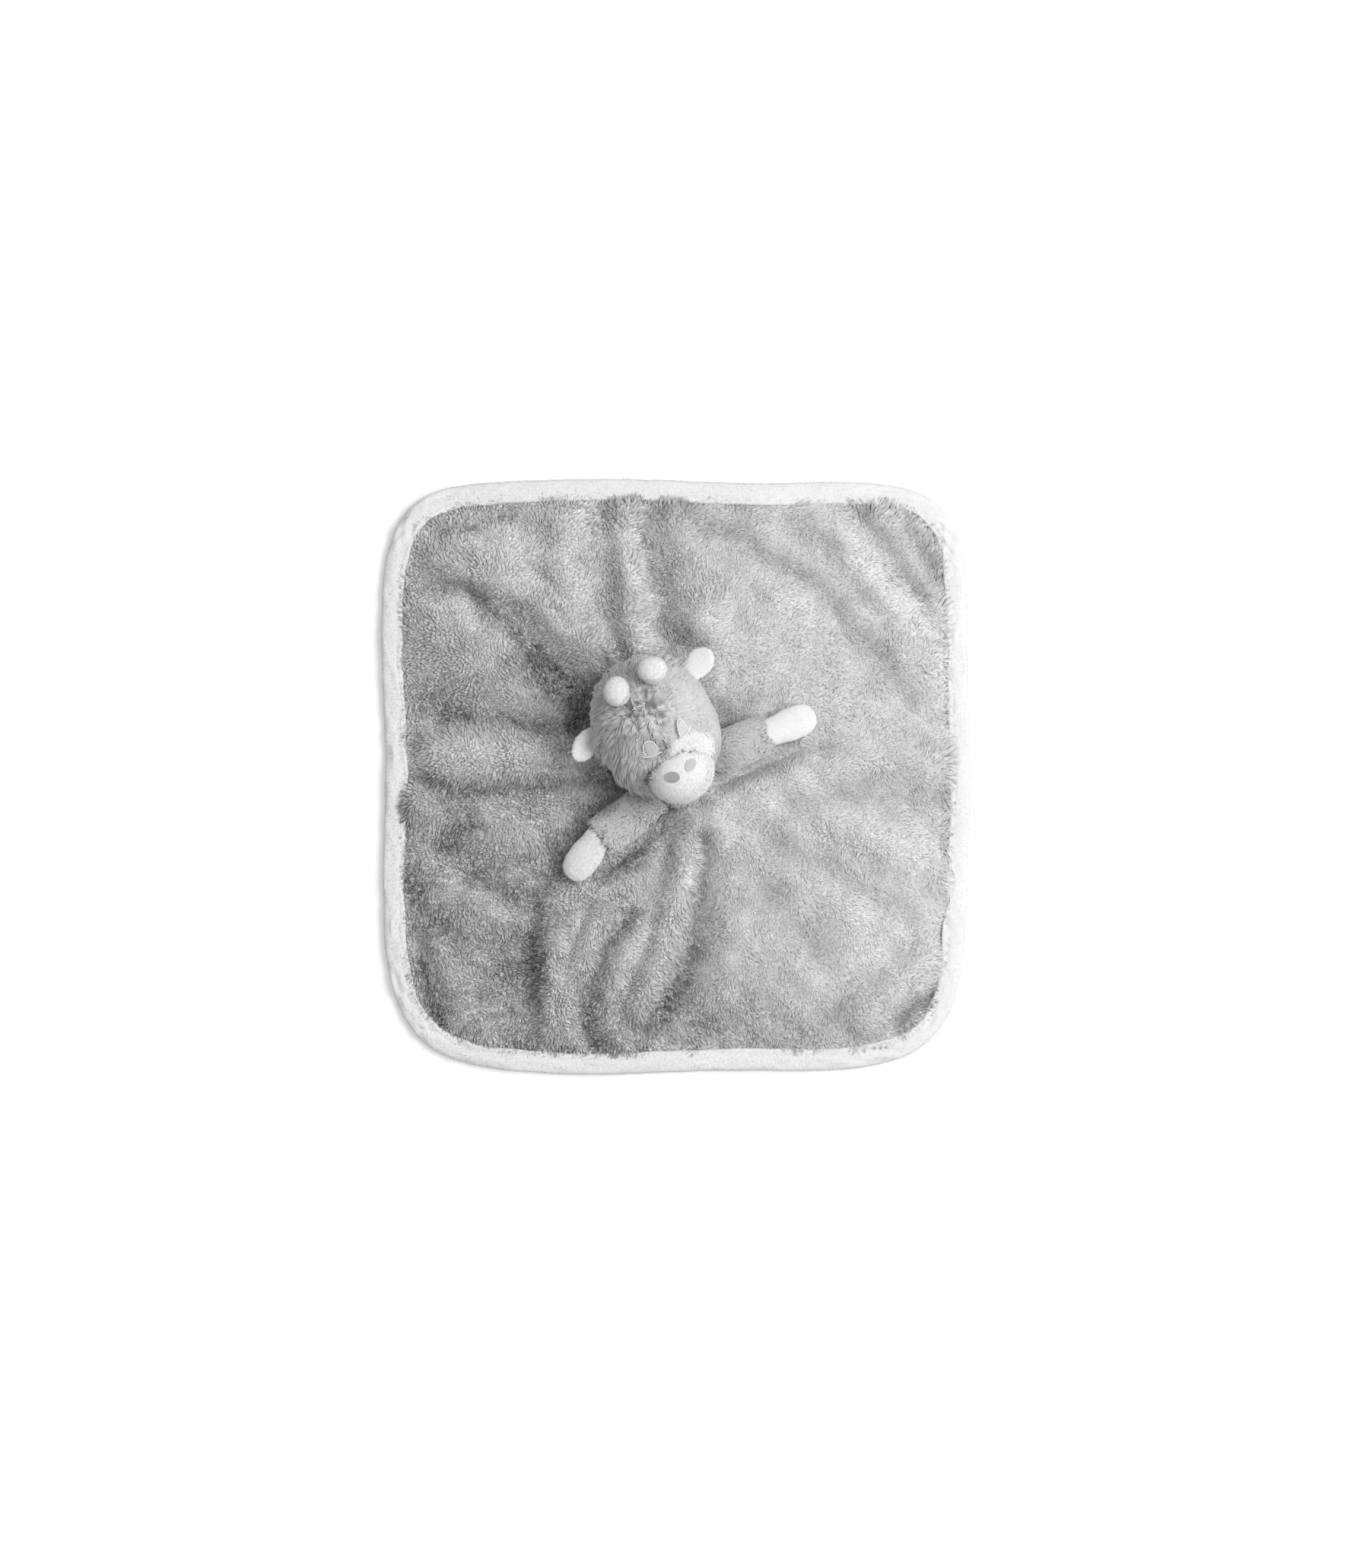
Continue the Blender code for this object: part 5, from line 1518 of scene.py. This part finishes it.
        fur = (self.fur_comb, self.fur_size)
        for name, style, finish, seed, keep, (comb, size) in (
            ("left", CHEEK_FUR, SOFT_PLUSH, 400, lambda places: half(places, True), fur),
            ("right", SMOOTH_FUR, SOFT_PLUSH, 405, lambda places: half(places, False), fur),
            ("locks", HEAD_LOCKS, SOFT_PLUSH, 415, cheek, fur),
            ("bridge", BRIDGE_HAIR, PALE_PLUSH, 410, bridge, (self.bridge_comb, everywhere)),
            ("nape", NAPE_FUR, SOFT_PLUSH, 420, back, fur),
        ):
            pile = Pile(style, finish, seed)
            pile.grow(f"head_fur_{name}", skull, Body.HEAD.value, comb, keep, size, self.fur_shade)

    def build(self) -> None:
        """Builds the whole head."""
        skull = self.build_skull()
        self.build_fur(skull)
        self.build_muzzle()
        for side in Side:
            Ear(side).build(self)
            Horn(side, 85.0 if side is Side.LEFT else 8.0).build(self)
            self.build_eye(side)
            self.build_nostril(side)

    def build_muzzle(self) -> None:
        """Makes the padded white muzzle and its nap."""
        nodes = ("muzzle_cover", "muzzle_stuffing")
        padding = Padding("muzzle_padding", nodes, grain=0.0016, inset=0.0002, plump=0.0006, calming=4)
        muzzle = padding.build()
        padding.dress(muzzle, WHITE_PLUSH, Body.HEAD.value, 0.9)

        def comb(places: Rows, outward: Rows) -> Rows:
            """Brushes the nap outwards from between the nostrils and towards the chin.

            Args:
                places: The roots.
                outward: The outward directions there; not used.

            Returns:
                A direction for each root.
            """
            own = self.size.own(places) - np.array(self.muzzle)
            own[:, 1] -= 0.008 * smooth_step(0.008, -0.004, own[:, 1])
            return self.size.world(own)

        def size(places: Rows) -> Rows:
            """Makes the nap longer towards the rim, where it meets the grey fur.

            Args:
                places: The roots.

            Returns:
                A share of the full length for each root.
            """
            share = (self.size.own(places) - np.array(self.muzzle)) / np.array(self.muzzle_halves)
            upper = smooth_step(-0.1, 0.5, share[:, 1])
            rim = smooth_step(0.72, 1.00, np.linalg.norm(share[:, :2], axis=1) + 0.22 * upper)
            return 1.0 + rim * (1.2 + 2.6 * upper)

        nap = Pile(SHORT_NAP, WHITE_PLUSH, 440)
        nap.grow("muzzle_nap", muzzle, Body.HEAD.value, comb, size=size)

    def on_face(self, places: Rows) -> Rows:
        """Lays places in the face's plan on the head's cover."""
        return np.column_stack((places, self.size.rise(self.size.filled(places)) + self.thread_rise))

    def on_muzzle(self, places: Rows) -> Rows:
        """Lays places in the face's plan on the muzzle's cover.

        Args:
            places: Rows of two coordinates in the head's axes.

        Returns:
            Rows of three coordinates in the head's axes.
        """
        share = (places - np.array(self.muzzle[:2])) / np.array(self.muzzle_halves[:2])
        height = self.muzzle_halves[2] * np.sqrt(np.maximum(0.0, 1.0 - (share**2).sum(axis=1)))
        return np.column_stack((places, self.muzzle[2] + height + self.thread_rise))

    def sew(self, name: str, runs: list[Thread], lay: Field, finish: ThreadFinish, node: str) -> None:
        """Makes a group of threads that lie on the head.

        Args:
            name: The piece's name.
            runs: The threads, in the face's plan.
            lay: What lays a plan place on the cover.
            finish: The threads' finish.
            node: The part's node that they replace.
        """
        points, faces = [], []
        for run in runs:
            line = self.size.world(lay(run.rounded())) + np.array(self.size.centre)
            made, sides = tube(line, run.radii(len(line)))
            faces.append(sides + sum(len(group) for group in points))
            points.append(made)
        piece = mesh_object(name, np.vstack(points), np.vstack(faces))
        finish.dress(piece, finish.material(), Body.HEAD.value, node)

    def build_eye(self, side: Side) -> None:
        """Embroiders a closed eye: its hatched lid, its outline and its three lashes.

        Args:
            side: Which eye.
        """
        name = f"eye_{side.value}"
        # The left eye's hatching is a darker grey than the right eye's: painted shade on the face's left
        # side.
        eye, finish = (LEFT_EYE, PALE_THREAD) if side is Side.LEFT else (RIGHT_EYE, SOFT_THREAD)
        self.sew(f"{name}_hatching", eye.hatching(), self.on_face, finish, f"{name}_lid")
        self.sew(f"{name}_threads", eye.threads(), self.on_face, WHITE_THREAD, f"{name}_outline")

    def build_nostril(self, side: Side) -> None:
        """Embroiders a nostril: satin stitches inside a sewn rim.

        Args:
            side: Which nostril.
        """
        name = f"nostril_{side.value}"
        # The left nostril is a darker grey than the right one: painted shade on the muzzle's left side.
        oval, finish = (LEFT_NOSTRIL, GREY_THREAD) if side is Side.LEFT else (RIGHT_NOSTRIL, PALE_THREAD)
        self.sew(f"{name}_stitches", oval.threads(), self.on_muzzle, finish, name)


@dataclass(frozen=True)
class Thread:
    """A run of thread in the face's plan, thinner towards its ends."""

    run: Route
    radius: float = 0.00030
    pieces: int = 5

    def rounded(self) -> Rows:
        """Gives the run as a smooth line.

        Returns:
            Rows of two coordinates.
        """
        knots = np.array(self.run)
        if len(knots) == 2:
            return knots[0] + (knots[1] - knots[0]) * np.linspace(0, 1, self.pieces + 1)[:, None]
        before = np.vstack((2 * knots[0] - knots[1], knots[:-2]))
        after = np.vstack((knots[2:], 2 * knots[-1] - knots[-2]))
        places = []
        for one, two, three, four in zip(before, knots[:-1], knots[1:], after):
            square, cube = 2 * one - 5 * two + 4 * three - four, 3 * two - one - 3 * three + four
            for t in (step / self.pieces for step in range(self.pieces)):
                places.append(0.5 * (2 * two + (three - one) * t + square * t**2 + cube * t**3))
        return np.array([*places, knots[-1]])

    def radii(self, count: int) -> Rows:
        """Gives the thread's radius at each of its points."""
        share = np.linspace(0.0, 1.0, count)
        return self.radius * (0.45 + 0.55 * np.minimum(1.0, np.minimum(share, 1.0 - share) * 6))


@dataclass(frozen=True)
class Eye:
    """A closed eye's drawing in the face's plan."""

    outline: Route
    base: Route
    lashes: tuple[Route, ...]
    hatch_deg: float
    hatch_pitch: float = 0.00062
    hatch_radius: float = 0.00027
    hatch_margin: float = 0.00035
    lash_radius: float = 0.00020

    def threads(self) -> list[Thread]:
        """Gives the outline, the lower edge and the lashes."""
        lashes = [Thread(lash, radius=self.lash_radius) for lash in self.lashes]
        return [Thread(self.outline), Thread(self.base), *lashes]

    def hatching(self) -> list[Thread]:
        """Fills the outline with parallel stitches.

        Returns:
            The stitches.
        """
        border = np.vstack((Thread(self.outline).rounded(), Thread(self.base).rounded()))
        thread = (self.hatch_pitch, self.hatch_radius, self.hatch_margin)
        return fill_with_stitches(border, self.hatch_deg, *thread)


@dataclass(frozen=True)
class Nostril:
    """An oval of satin stitches."""

    middle: Plan
    length: float
    width: float
    turn_deg: float
    pitch: float = 0.00060
    radius: float = 0.00030
    rim_radius: float = 0.00036

    def oval(self, share: float) -> Rows:
        """Gives the oval's rim at a share of its size.

        Args:
            share: The share.

        Returns:
            Rows of two coordinates.
        """
        angles = np.linspace(0, 2 * math.pi, 25)
        plan = turned(np.cos(angles) * self.length / 2, np.sin(angles) * self.width / 2, self.turn_deg)
        return np.array(self.middle) + share * np.column_stack(plan)

    def threads(self) -> list[Thread]:
        """Gives the stitches and the rim."""
        inside = fill_with_stitches(self.oval(0.98), self.turn_deg + 82.0, self.pitch, self.radius, 0.0)
        return [*inside, Thread(tuple(map(tuple, self.oval(1.0))), radius=self.rim_radius, pieces=2)]


def fill_with_stitches(
    border: Rows, turn_deg: float, pitch: float, radius: float, margin: float
) -> list[Thread]:
    """Fills a rounded outline with parallel straight stitches.

    Args:
        border: The outline's points.
        turn_deg: The stitches' direction.
        pitch: The distance from stitch to stitch.
        radius: The thread's radius.
        margin: How far the stitches stay inside the outline.

    Returns:
        The stitches.
    """
    turn = math.radians(turn_deg)
    along, across = np.array([math.cos(turn), math.sin(turn)]), np.array([-math.sin(turn), math.cos(turn)])
    ahead = np.roll(border, -1, axis=0)
    low, high = (border @ across).min() + pitch * 0.5, (border @ across).max() - pitch * 0.3
    stitches = []
    for level in np.arange(low, high, pitch):
        one, two = border @ across - level, ahead @ across - level
        crossing = one * two < 0
        share = (one[crossing] / (one - two)[crossing])[:, None]
        hits = (border[crossing] * (1 - share) + ahead[crossing] * share) @ along
        if len(hits) >= 2 and hits.max() - hits.min() > margin * 2 + radius * 3:
            ends = [across * level + along * reach for reach in (hits.min() + margin, hits.max() - margin)]
            stitches.append(Thread((tuple(ends[0]), tuple(ends[1])), radius=radius, pieces=6))
    return stitches


def tube(line: Rows, radii: Rows, sides: int = 6) -> tuple[Rows, Rows]:
    """Makes a closed tube along a line.

    Args:
        line: Rows of three coordinates.
        radii: One radius for each row.
        sides: How many sides it has.

    Returns:
        Its points and its triangles.
    """
    run = unit(np.gradient(line, axis=0))
    across = unit(np.cross(run, UP))
    angles = (np.arange(sides) * (2 * math.pi / sides))[None, :, None]
    offsets = across[:, None] * np.cos(angles) + np.cross(across, run)[:, None] * np.sin(angles)
    rings = line[:, None] + offsets * radii[:, None, None]
    ends = line[:1] - run[:1] * radii[0], line[-1:] + run[-1:] * radii[-1]
    points = np.vstack((rings.reshape(-1, 3), *ends))
    first, last, end = len(points) - 2, len(points) - 1, (len(line) - 1) * sides
    caps = []
    for side in range(sides):
        after = (side + 1) % sides
        caps += [(first, side, after), (last, end + after, end + side)]
    return points, np.vstack((halved(ring_faces(len(line), sides)), caps))


LEFT_EYE = Eye(
    outline=(
        (-0.0075, -0.0135), (-0.0070, -0.0106), (-0.0082, -0.0066), (-0.0108, -0.0051),
        (-0.0135, -0.0063), (-0.0150, -0.0092), (-0.0150, -0.0127),
    ),
    base=(
        (-0.0175, -0.0116), (-0.0150, -0.0130), (-0.0125, -0.0141), (-0.0095, -0.0147), (-0.0060, -0.0149),
    ),
    lashes=(
        ((-0.0152, -0.0121), (-0.0189, -0.0104)),
        ((-0.0149, -0.0116), (-0.0178, -0.0091)),
        ((-0.0148, -0.0108), (-0.0166, -0.0083)),
    ),
    hatch_deg=-12.0,
)  # fmt: skip
RIGHT_EYE = Eye(
    outline=(
        (0.0072, -0.0145), (0.0079, -0.0112), (0.0094, -0.0073), (0.0114, -0.0046),
        (0.0131, -0.0048), (0.0140, -0.0080), (0.0137, -0.0131),
    ),
    base=((0.0155, -0.0123), (0.0137, -0.0131), (0.0106, -0.0142), (0.0072, -0.0145)),
    lashes=(
        ((0.0137, -0.0130), (0.0181, -0.0105)),
        ((0.0138, -0.0129), (0.0170, -0.0095)),
        ((0.0137, -0.0127), (0.0159, -0.0083)),
    ),
    hatch_deg=-92.0,
)  # fmt: skip
LEFT_NOSTRIL = Nostril((-0.0092, -0.0307), 0.0084, 0.0058, -33.0)
RIGHT_NOSTRIL = Nostril((0.0037, -0.0304), 0.0078, 0.0052, 27.0)


@dataclass
class Ear:
    """A leaf-shaped ear of two panels."""

    side: Side

    def build(self, head: Head) -> None:
        """Makes the ear and its nap.

        Args:
            head: The head that it grows on.
        """
        name = f"ear_{self.side.value}"
        nodes = (f"{name}_front", f"{name}_back")
        padding = Padding(f"{name}_leaf", nodes, grain=0.0007, inset=-0.0002, calming=2)
        leaf = padding.build()
        places = vertex_places(leaf)
        inwards = (np.array(head.size.centre) - places.mean(axis=0)) * (1.0 - UP)
        move_vertices(leaf, places + inwards / np.linalg.norm(inwards) * head.ear_tuck)
        padding.dress(leaf, WHITE_PLUSH, name, 0.2)
        grow_outwards(f"{name}_nap", leaf, name, self.side.seed(460), head)


@dataclass
class Horn:
    """A stuffed knob on the crown, longer one way than the other."""

    side: Side
    long_way_deg: float
    longer: float = 1.10
    shorter: float = 0.96

    def stretch(self, knob: Piece) -> None:
        """Makes the knob longer one way and shorter the other, seen from above.

        Args:
            knob: The padded knob.
        """
        places = vertex_places(knob)
        turn = math.radians(self.long_way_deg)
        along = np.array([math.cos(turn), math.sin(turn), 0.0])
        across = np.array([-math.sin(turn), math.cos(turn), 0.0])
        offset = places - places.mean(axis=0)
        for way, stretch in ((along, self.longer), (across, self.shorter)):
            places += way * (offset @ way * (stretch - 1.0))[:, None]
        move_vertices(knob, places)

    def build(self, head: Head) -> None:
        """Makes the horn and its nap.

        Args:
            head: The head that it stands on.
        """
        name = f"horn_{self.side.value}"
        nodes = (f"{name}_cover", f"{name}_stuffing")
        padding = Padding(f"{name}_padding", nodes, grain=0.0009, inset=-0.0001, plump=0.0003, calming=3)
        knob = padding.build()
        self.stretch(knob)
        padding.dress(knob, WHITE_PLUSH, Body.HEAD.value, 0.9)
        grow_outwards(f"{name}_nap", knob, Body.HEAD.value, self.side.seed(480), head)


def grow_outwards(name: str, carrier: Piece, body: str, seed: int, head: Head) -> None:
    """Grows short nap that is brushed away from the head's middle.

    Args:
        name: The nap's name.
        carrier: The piece that carries it.
        body: The body that both ride on.
        seed: The nap's seed.
        head: The head.
    """

    def comb(places: Rows, outward: Rows) -> Rows:
        """Brushes the nap away from the head."""
        return unit(places - np.array(head.size.centre))

    Pile(SHORT_NAP, WHITE_PLUSH, seed).grow(name, carrier, body, comb)


@dataclass
class Arm:
    """A grey sleeve and a white hand."""

    side: Side
    root: Plan
    wrist: Plan
    tip: Plan
    bare_cuff: float = 0.0020

    def build_sleeve(self) -> None:
        """Makes the sleeve and its fur."""
        name, body = f"sleeve_{self.side.value}", f"arm_{self.side.value}"
        nodes = (f"{name}_cover", f"{name}_stuffing")
        padding = Padding(f"{name}_padding", nodes, grain=0.0016, inset=0.0016, plump=0.0008)
        sleeve = padding.build()
        padding.dress(sleeve, GREY_PLUSH, body, 0.7)
        root, wrist = np.array([*self.root, 0.0]), np.array([*self.wrist, 0.0])
        reach = float(np.linalg.norm(wrist - root))
        run = (wrist - root) / reach
        cuff = reach - self.bare_cuff

        def comb(places: Rows, outward: Rows) -> Rows:
            """Brushes the sleeve's fur towards the hand, a little round it, and back over its root.

            Args:
                places: The roots.
                outward: The outward directions there.

            Returns:
                A direction for each root.
            """
            along = (places - root) @ run
            turn = 0.7 * (0.3 + Ripple(0.02, 151)(places)) * smooth_step(cuff, cuff - 0.010, along)
            back = smooth_step(0.007, 0.001, along)[:, None]
            return (run + np.cross(outward, run) * turn[:, None]) * (1.0 - back) - run * back

        def keep(places: Rows) -> Rows:
            """Leaves the sleeve's two ends bare."""
            along = (places - root) @ run
            return np.where((along < cuff - 0.0005) & (along > 0.0010), 1.0, 0.0)

        def size(places: Rows) -> Rows:
            """Makes the fur a little longer at the sleeve's root and at its cuff.

            Args:
                places: The roots.

            Returns:
                A share of the full length for each root.
            """
            along = (places - root) @ run
            at_cuff = smooth_step(cuff - 0.005, cuff, along)
            return 1.0 + 0.3 * smooth_step(0.007, 0.001, along) + 0.8 * at_cuff

        Pile(SLEEVE_FUR, SOFT_PLUSH, self.side.seed(500)).grow(f"{name}_fur", sleeve, body, comb, keep, size)

    def build_hand(self) -> None:
        """Makes the hand and its nap."""
        name = f"hand_{self.side.value}"
        nodes = (f"{name}_cover", f"{name}_stuffing")
        padding = Padding(f"{name}_padding", nodes, grain=0.0012, inset=-0.0002, plump=0.0004, calming=2)
        hand = padding.build()
        padding.dress(hand, WHITE_PLUSH, name, 0.9)
        way = unit(np.array([*self.tip, 0.0]) - np.array([*self.wrist, 0.0]))

        def comb(places: Rows, outward: Rows) -> Rows:
            """Brushes the nap towards the hand's tip."""
            return np.broadcast_to(way, places.shape)

        Pile(HAND_NAP, WHITE_PLUSH, self.side.seed(520)).grow(f"{name}_nap", hand, name, comb)

    def build(self) -> None:
        """Makes the sleeve and the hand."""
        self.build_sleeve()
        self.build_hand()


@dataclass
class Neck:
    """The gathered neck under the head."""

    def build(self) -> None:
        """Makes the neck's padding, its fur and its thread."""
        padding = Padding("neck_padding", ("neck_cover", "neck_stuffing"), grain=0.0011, inset=0.0006)
        gather = padding.build()
        padding.dress(gather, GREY_PLUSH, Body.NECK.value, 0.6)

        def comb(places: Rows, outward: Rows) -> Rows:
            """Brushes the fur out and down, over the gather."""
            return outward - UP * 0.6

        Pile(NECK_FUR, SOFT_PLUSH, 540).grow("neck_fur", gather, Body.NECK.value, comb)
        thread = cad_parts["neck_thread"]
        thread.data.materials.clear()
        thread.data.materials.append(WHITE_THREAD.material())


# The studio


@dataclass
class Studio:
    """The white table, the soft lamp at the right, and the camera overhead."""

    camera_height: float = 3.0
    frame_height: float = 0.9307
    middle: Plan = (0.0032, -0.0043)
    sensor: float = 36.0
    key_power: float = 19.0
    key_size: float = 1.0
    key_place: Place = (0.80, 0.20, 1.38)
    sky_strength: float = 0.50
    table_size: float = 8.0
    floor_colour: float = 0.86
    floor_glow: float = 0.21
    far_glow: float = 0.75
    glow_near: float = 0.35
    glow_far: float = 1.40

    def build(self) -> None:
        """Sets up the floor, the lights, the world and the camera."""
        bpy.ops.object.select_all(action="DESELECT")
        bpy.ops.mesh.primitive_plane_add(size=self.table_size, location=(0.0, 0.0, -TABLE_GAP))
        floor = bpy.context.active_object
        floor.name = "table_top"
        bpy.ops.object.transform_apply(location=True, rotation=True, scale=True)
        floor.data.materials.append(self.floor_material())

        lamp = bpy.data.lights.new("key_lamp", "AREA")
        lamp.shape = "DISK"
        lamp.size = self.key_size
        lamp.energy = self.key_power
        key = linked("key_lamp", lamp)
        key.location = self.key_place
        key.rotation_euler = (-Vector(self.key_place)).to_track_quat("-Z", "Y").to_euler()

        world = bpy.data.worlds.new("soft_room")
        world.use_nodes = True
        bpy.context.scene.world = world
        level = {"Value": seen_directly(world.node_tree), "To Min": self.sky_strength, "To Max": 1.0}
        strength = add_node(world.node_tree, "MapRange", "Result", level)
        plug(world.node_tree.nodes["Background"], {"Color": grey(1.0), "Strength": strength})

        data = bpy.data.cameras.new("overhead_camera")
        data.sensor_width = self.sensor
        data.lens = self.sensor * self.camera_height / self.frame_height
        data.clip_end = 20.0
        camera = linked("overhead_camera", data)
        camera.location = (*self.middle, self.camera_height)
        bpy.context.scene.camera = camera
        bpy.context.scene.view_settings.view_transform = "Standard"

    def floor_material(self) -> Material:
        """Makes the white table: it takes the toy's shadow, and glows for the camera, more far away.

        Returns:
            The material.
        """
        made, shader, tree = blank_material("white_table")
        place = add_node(tree, "TexCoord", "Object", {})
        away = add_node(tree, "VectorMath", "Value", {0: place}, operation="LENGTH")
        glow = {"Value": away, "From Min": self.glow_near, "From Max": self.glow_far}
        glow |= {"To Min": self.floor_glow, "To Max": self.far_glow}
        both = {0: seen_directly(tree), 1: add_node(tree, "MapRange", "Result", glow)}
        look = {"Base Color": grey(self.floor_colour), "Roughness": 0.9, "Specular IOR Level": 0.0}
        look |= {"Emission Color": grey(1.0)}
        look |= {"Emission Strength": add_node(tree, "Math", "Value", both, operation="MULTIPLY")}
        plug(shader, look)
        return made


def seen_directly(tree: Tree) -> Socket:
    """Gives one for what the camera sees, also as a reflection or through glass, and zero for the light.

    Args:
        tree: The material's or the world's nodes.

    Returns:
        One or zero, as a node's output.
    """
    path = tree.nodes.new("ShaderNodeLightPath").outputs
    seen = {0: path["Is Camera Ray"], 1: path["Is Glossy Ray"]}
    either = {0: add_node(tree, "Math", "Value", seen, operation="MAXIMUM"), 1: path["Is Transmission Ray"]}
    return add_node(tree, "Math", "Value", either, operation="MAXIMUM")


def main() -> None:
    """Builds every sub-assembly in order."""
    logging.basicConfig(level=logging.INFO, format="%(message)s")
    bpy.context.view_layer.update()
    Studio().build()
    Blanket().build()
    Neck().build()
    Head().build()
    for side, run in zip(Side, BlanketShape().arm_runs):
        Arm(side, *run).build()


if __name__ == "__main__":
    main()
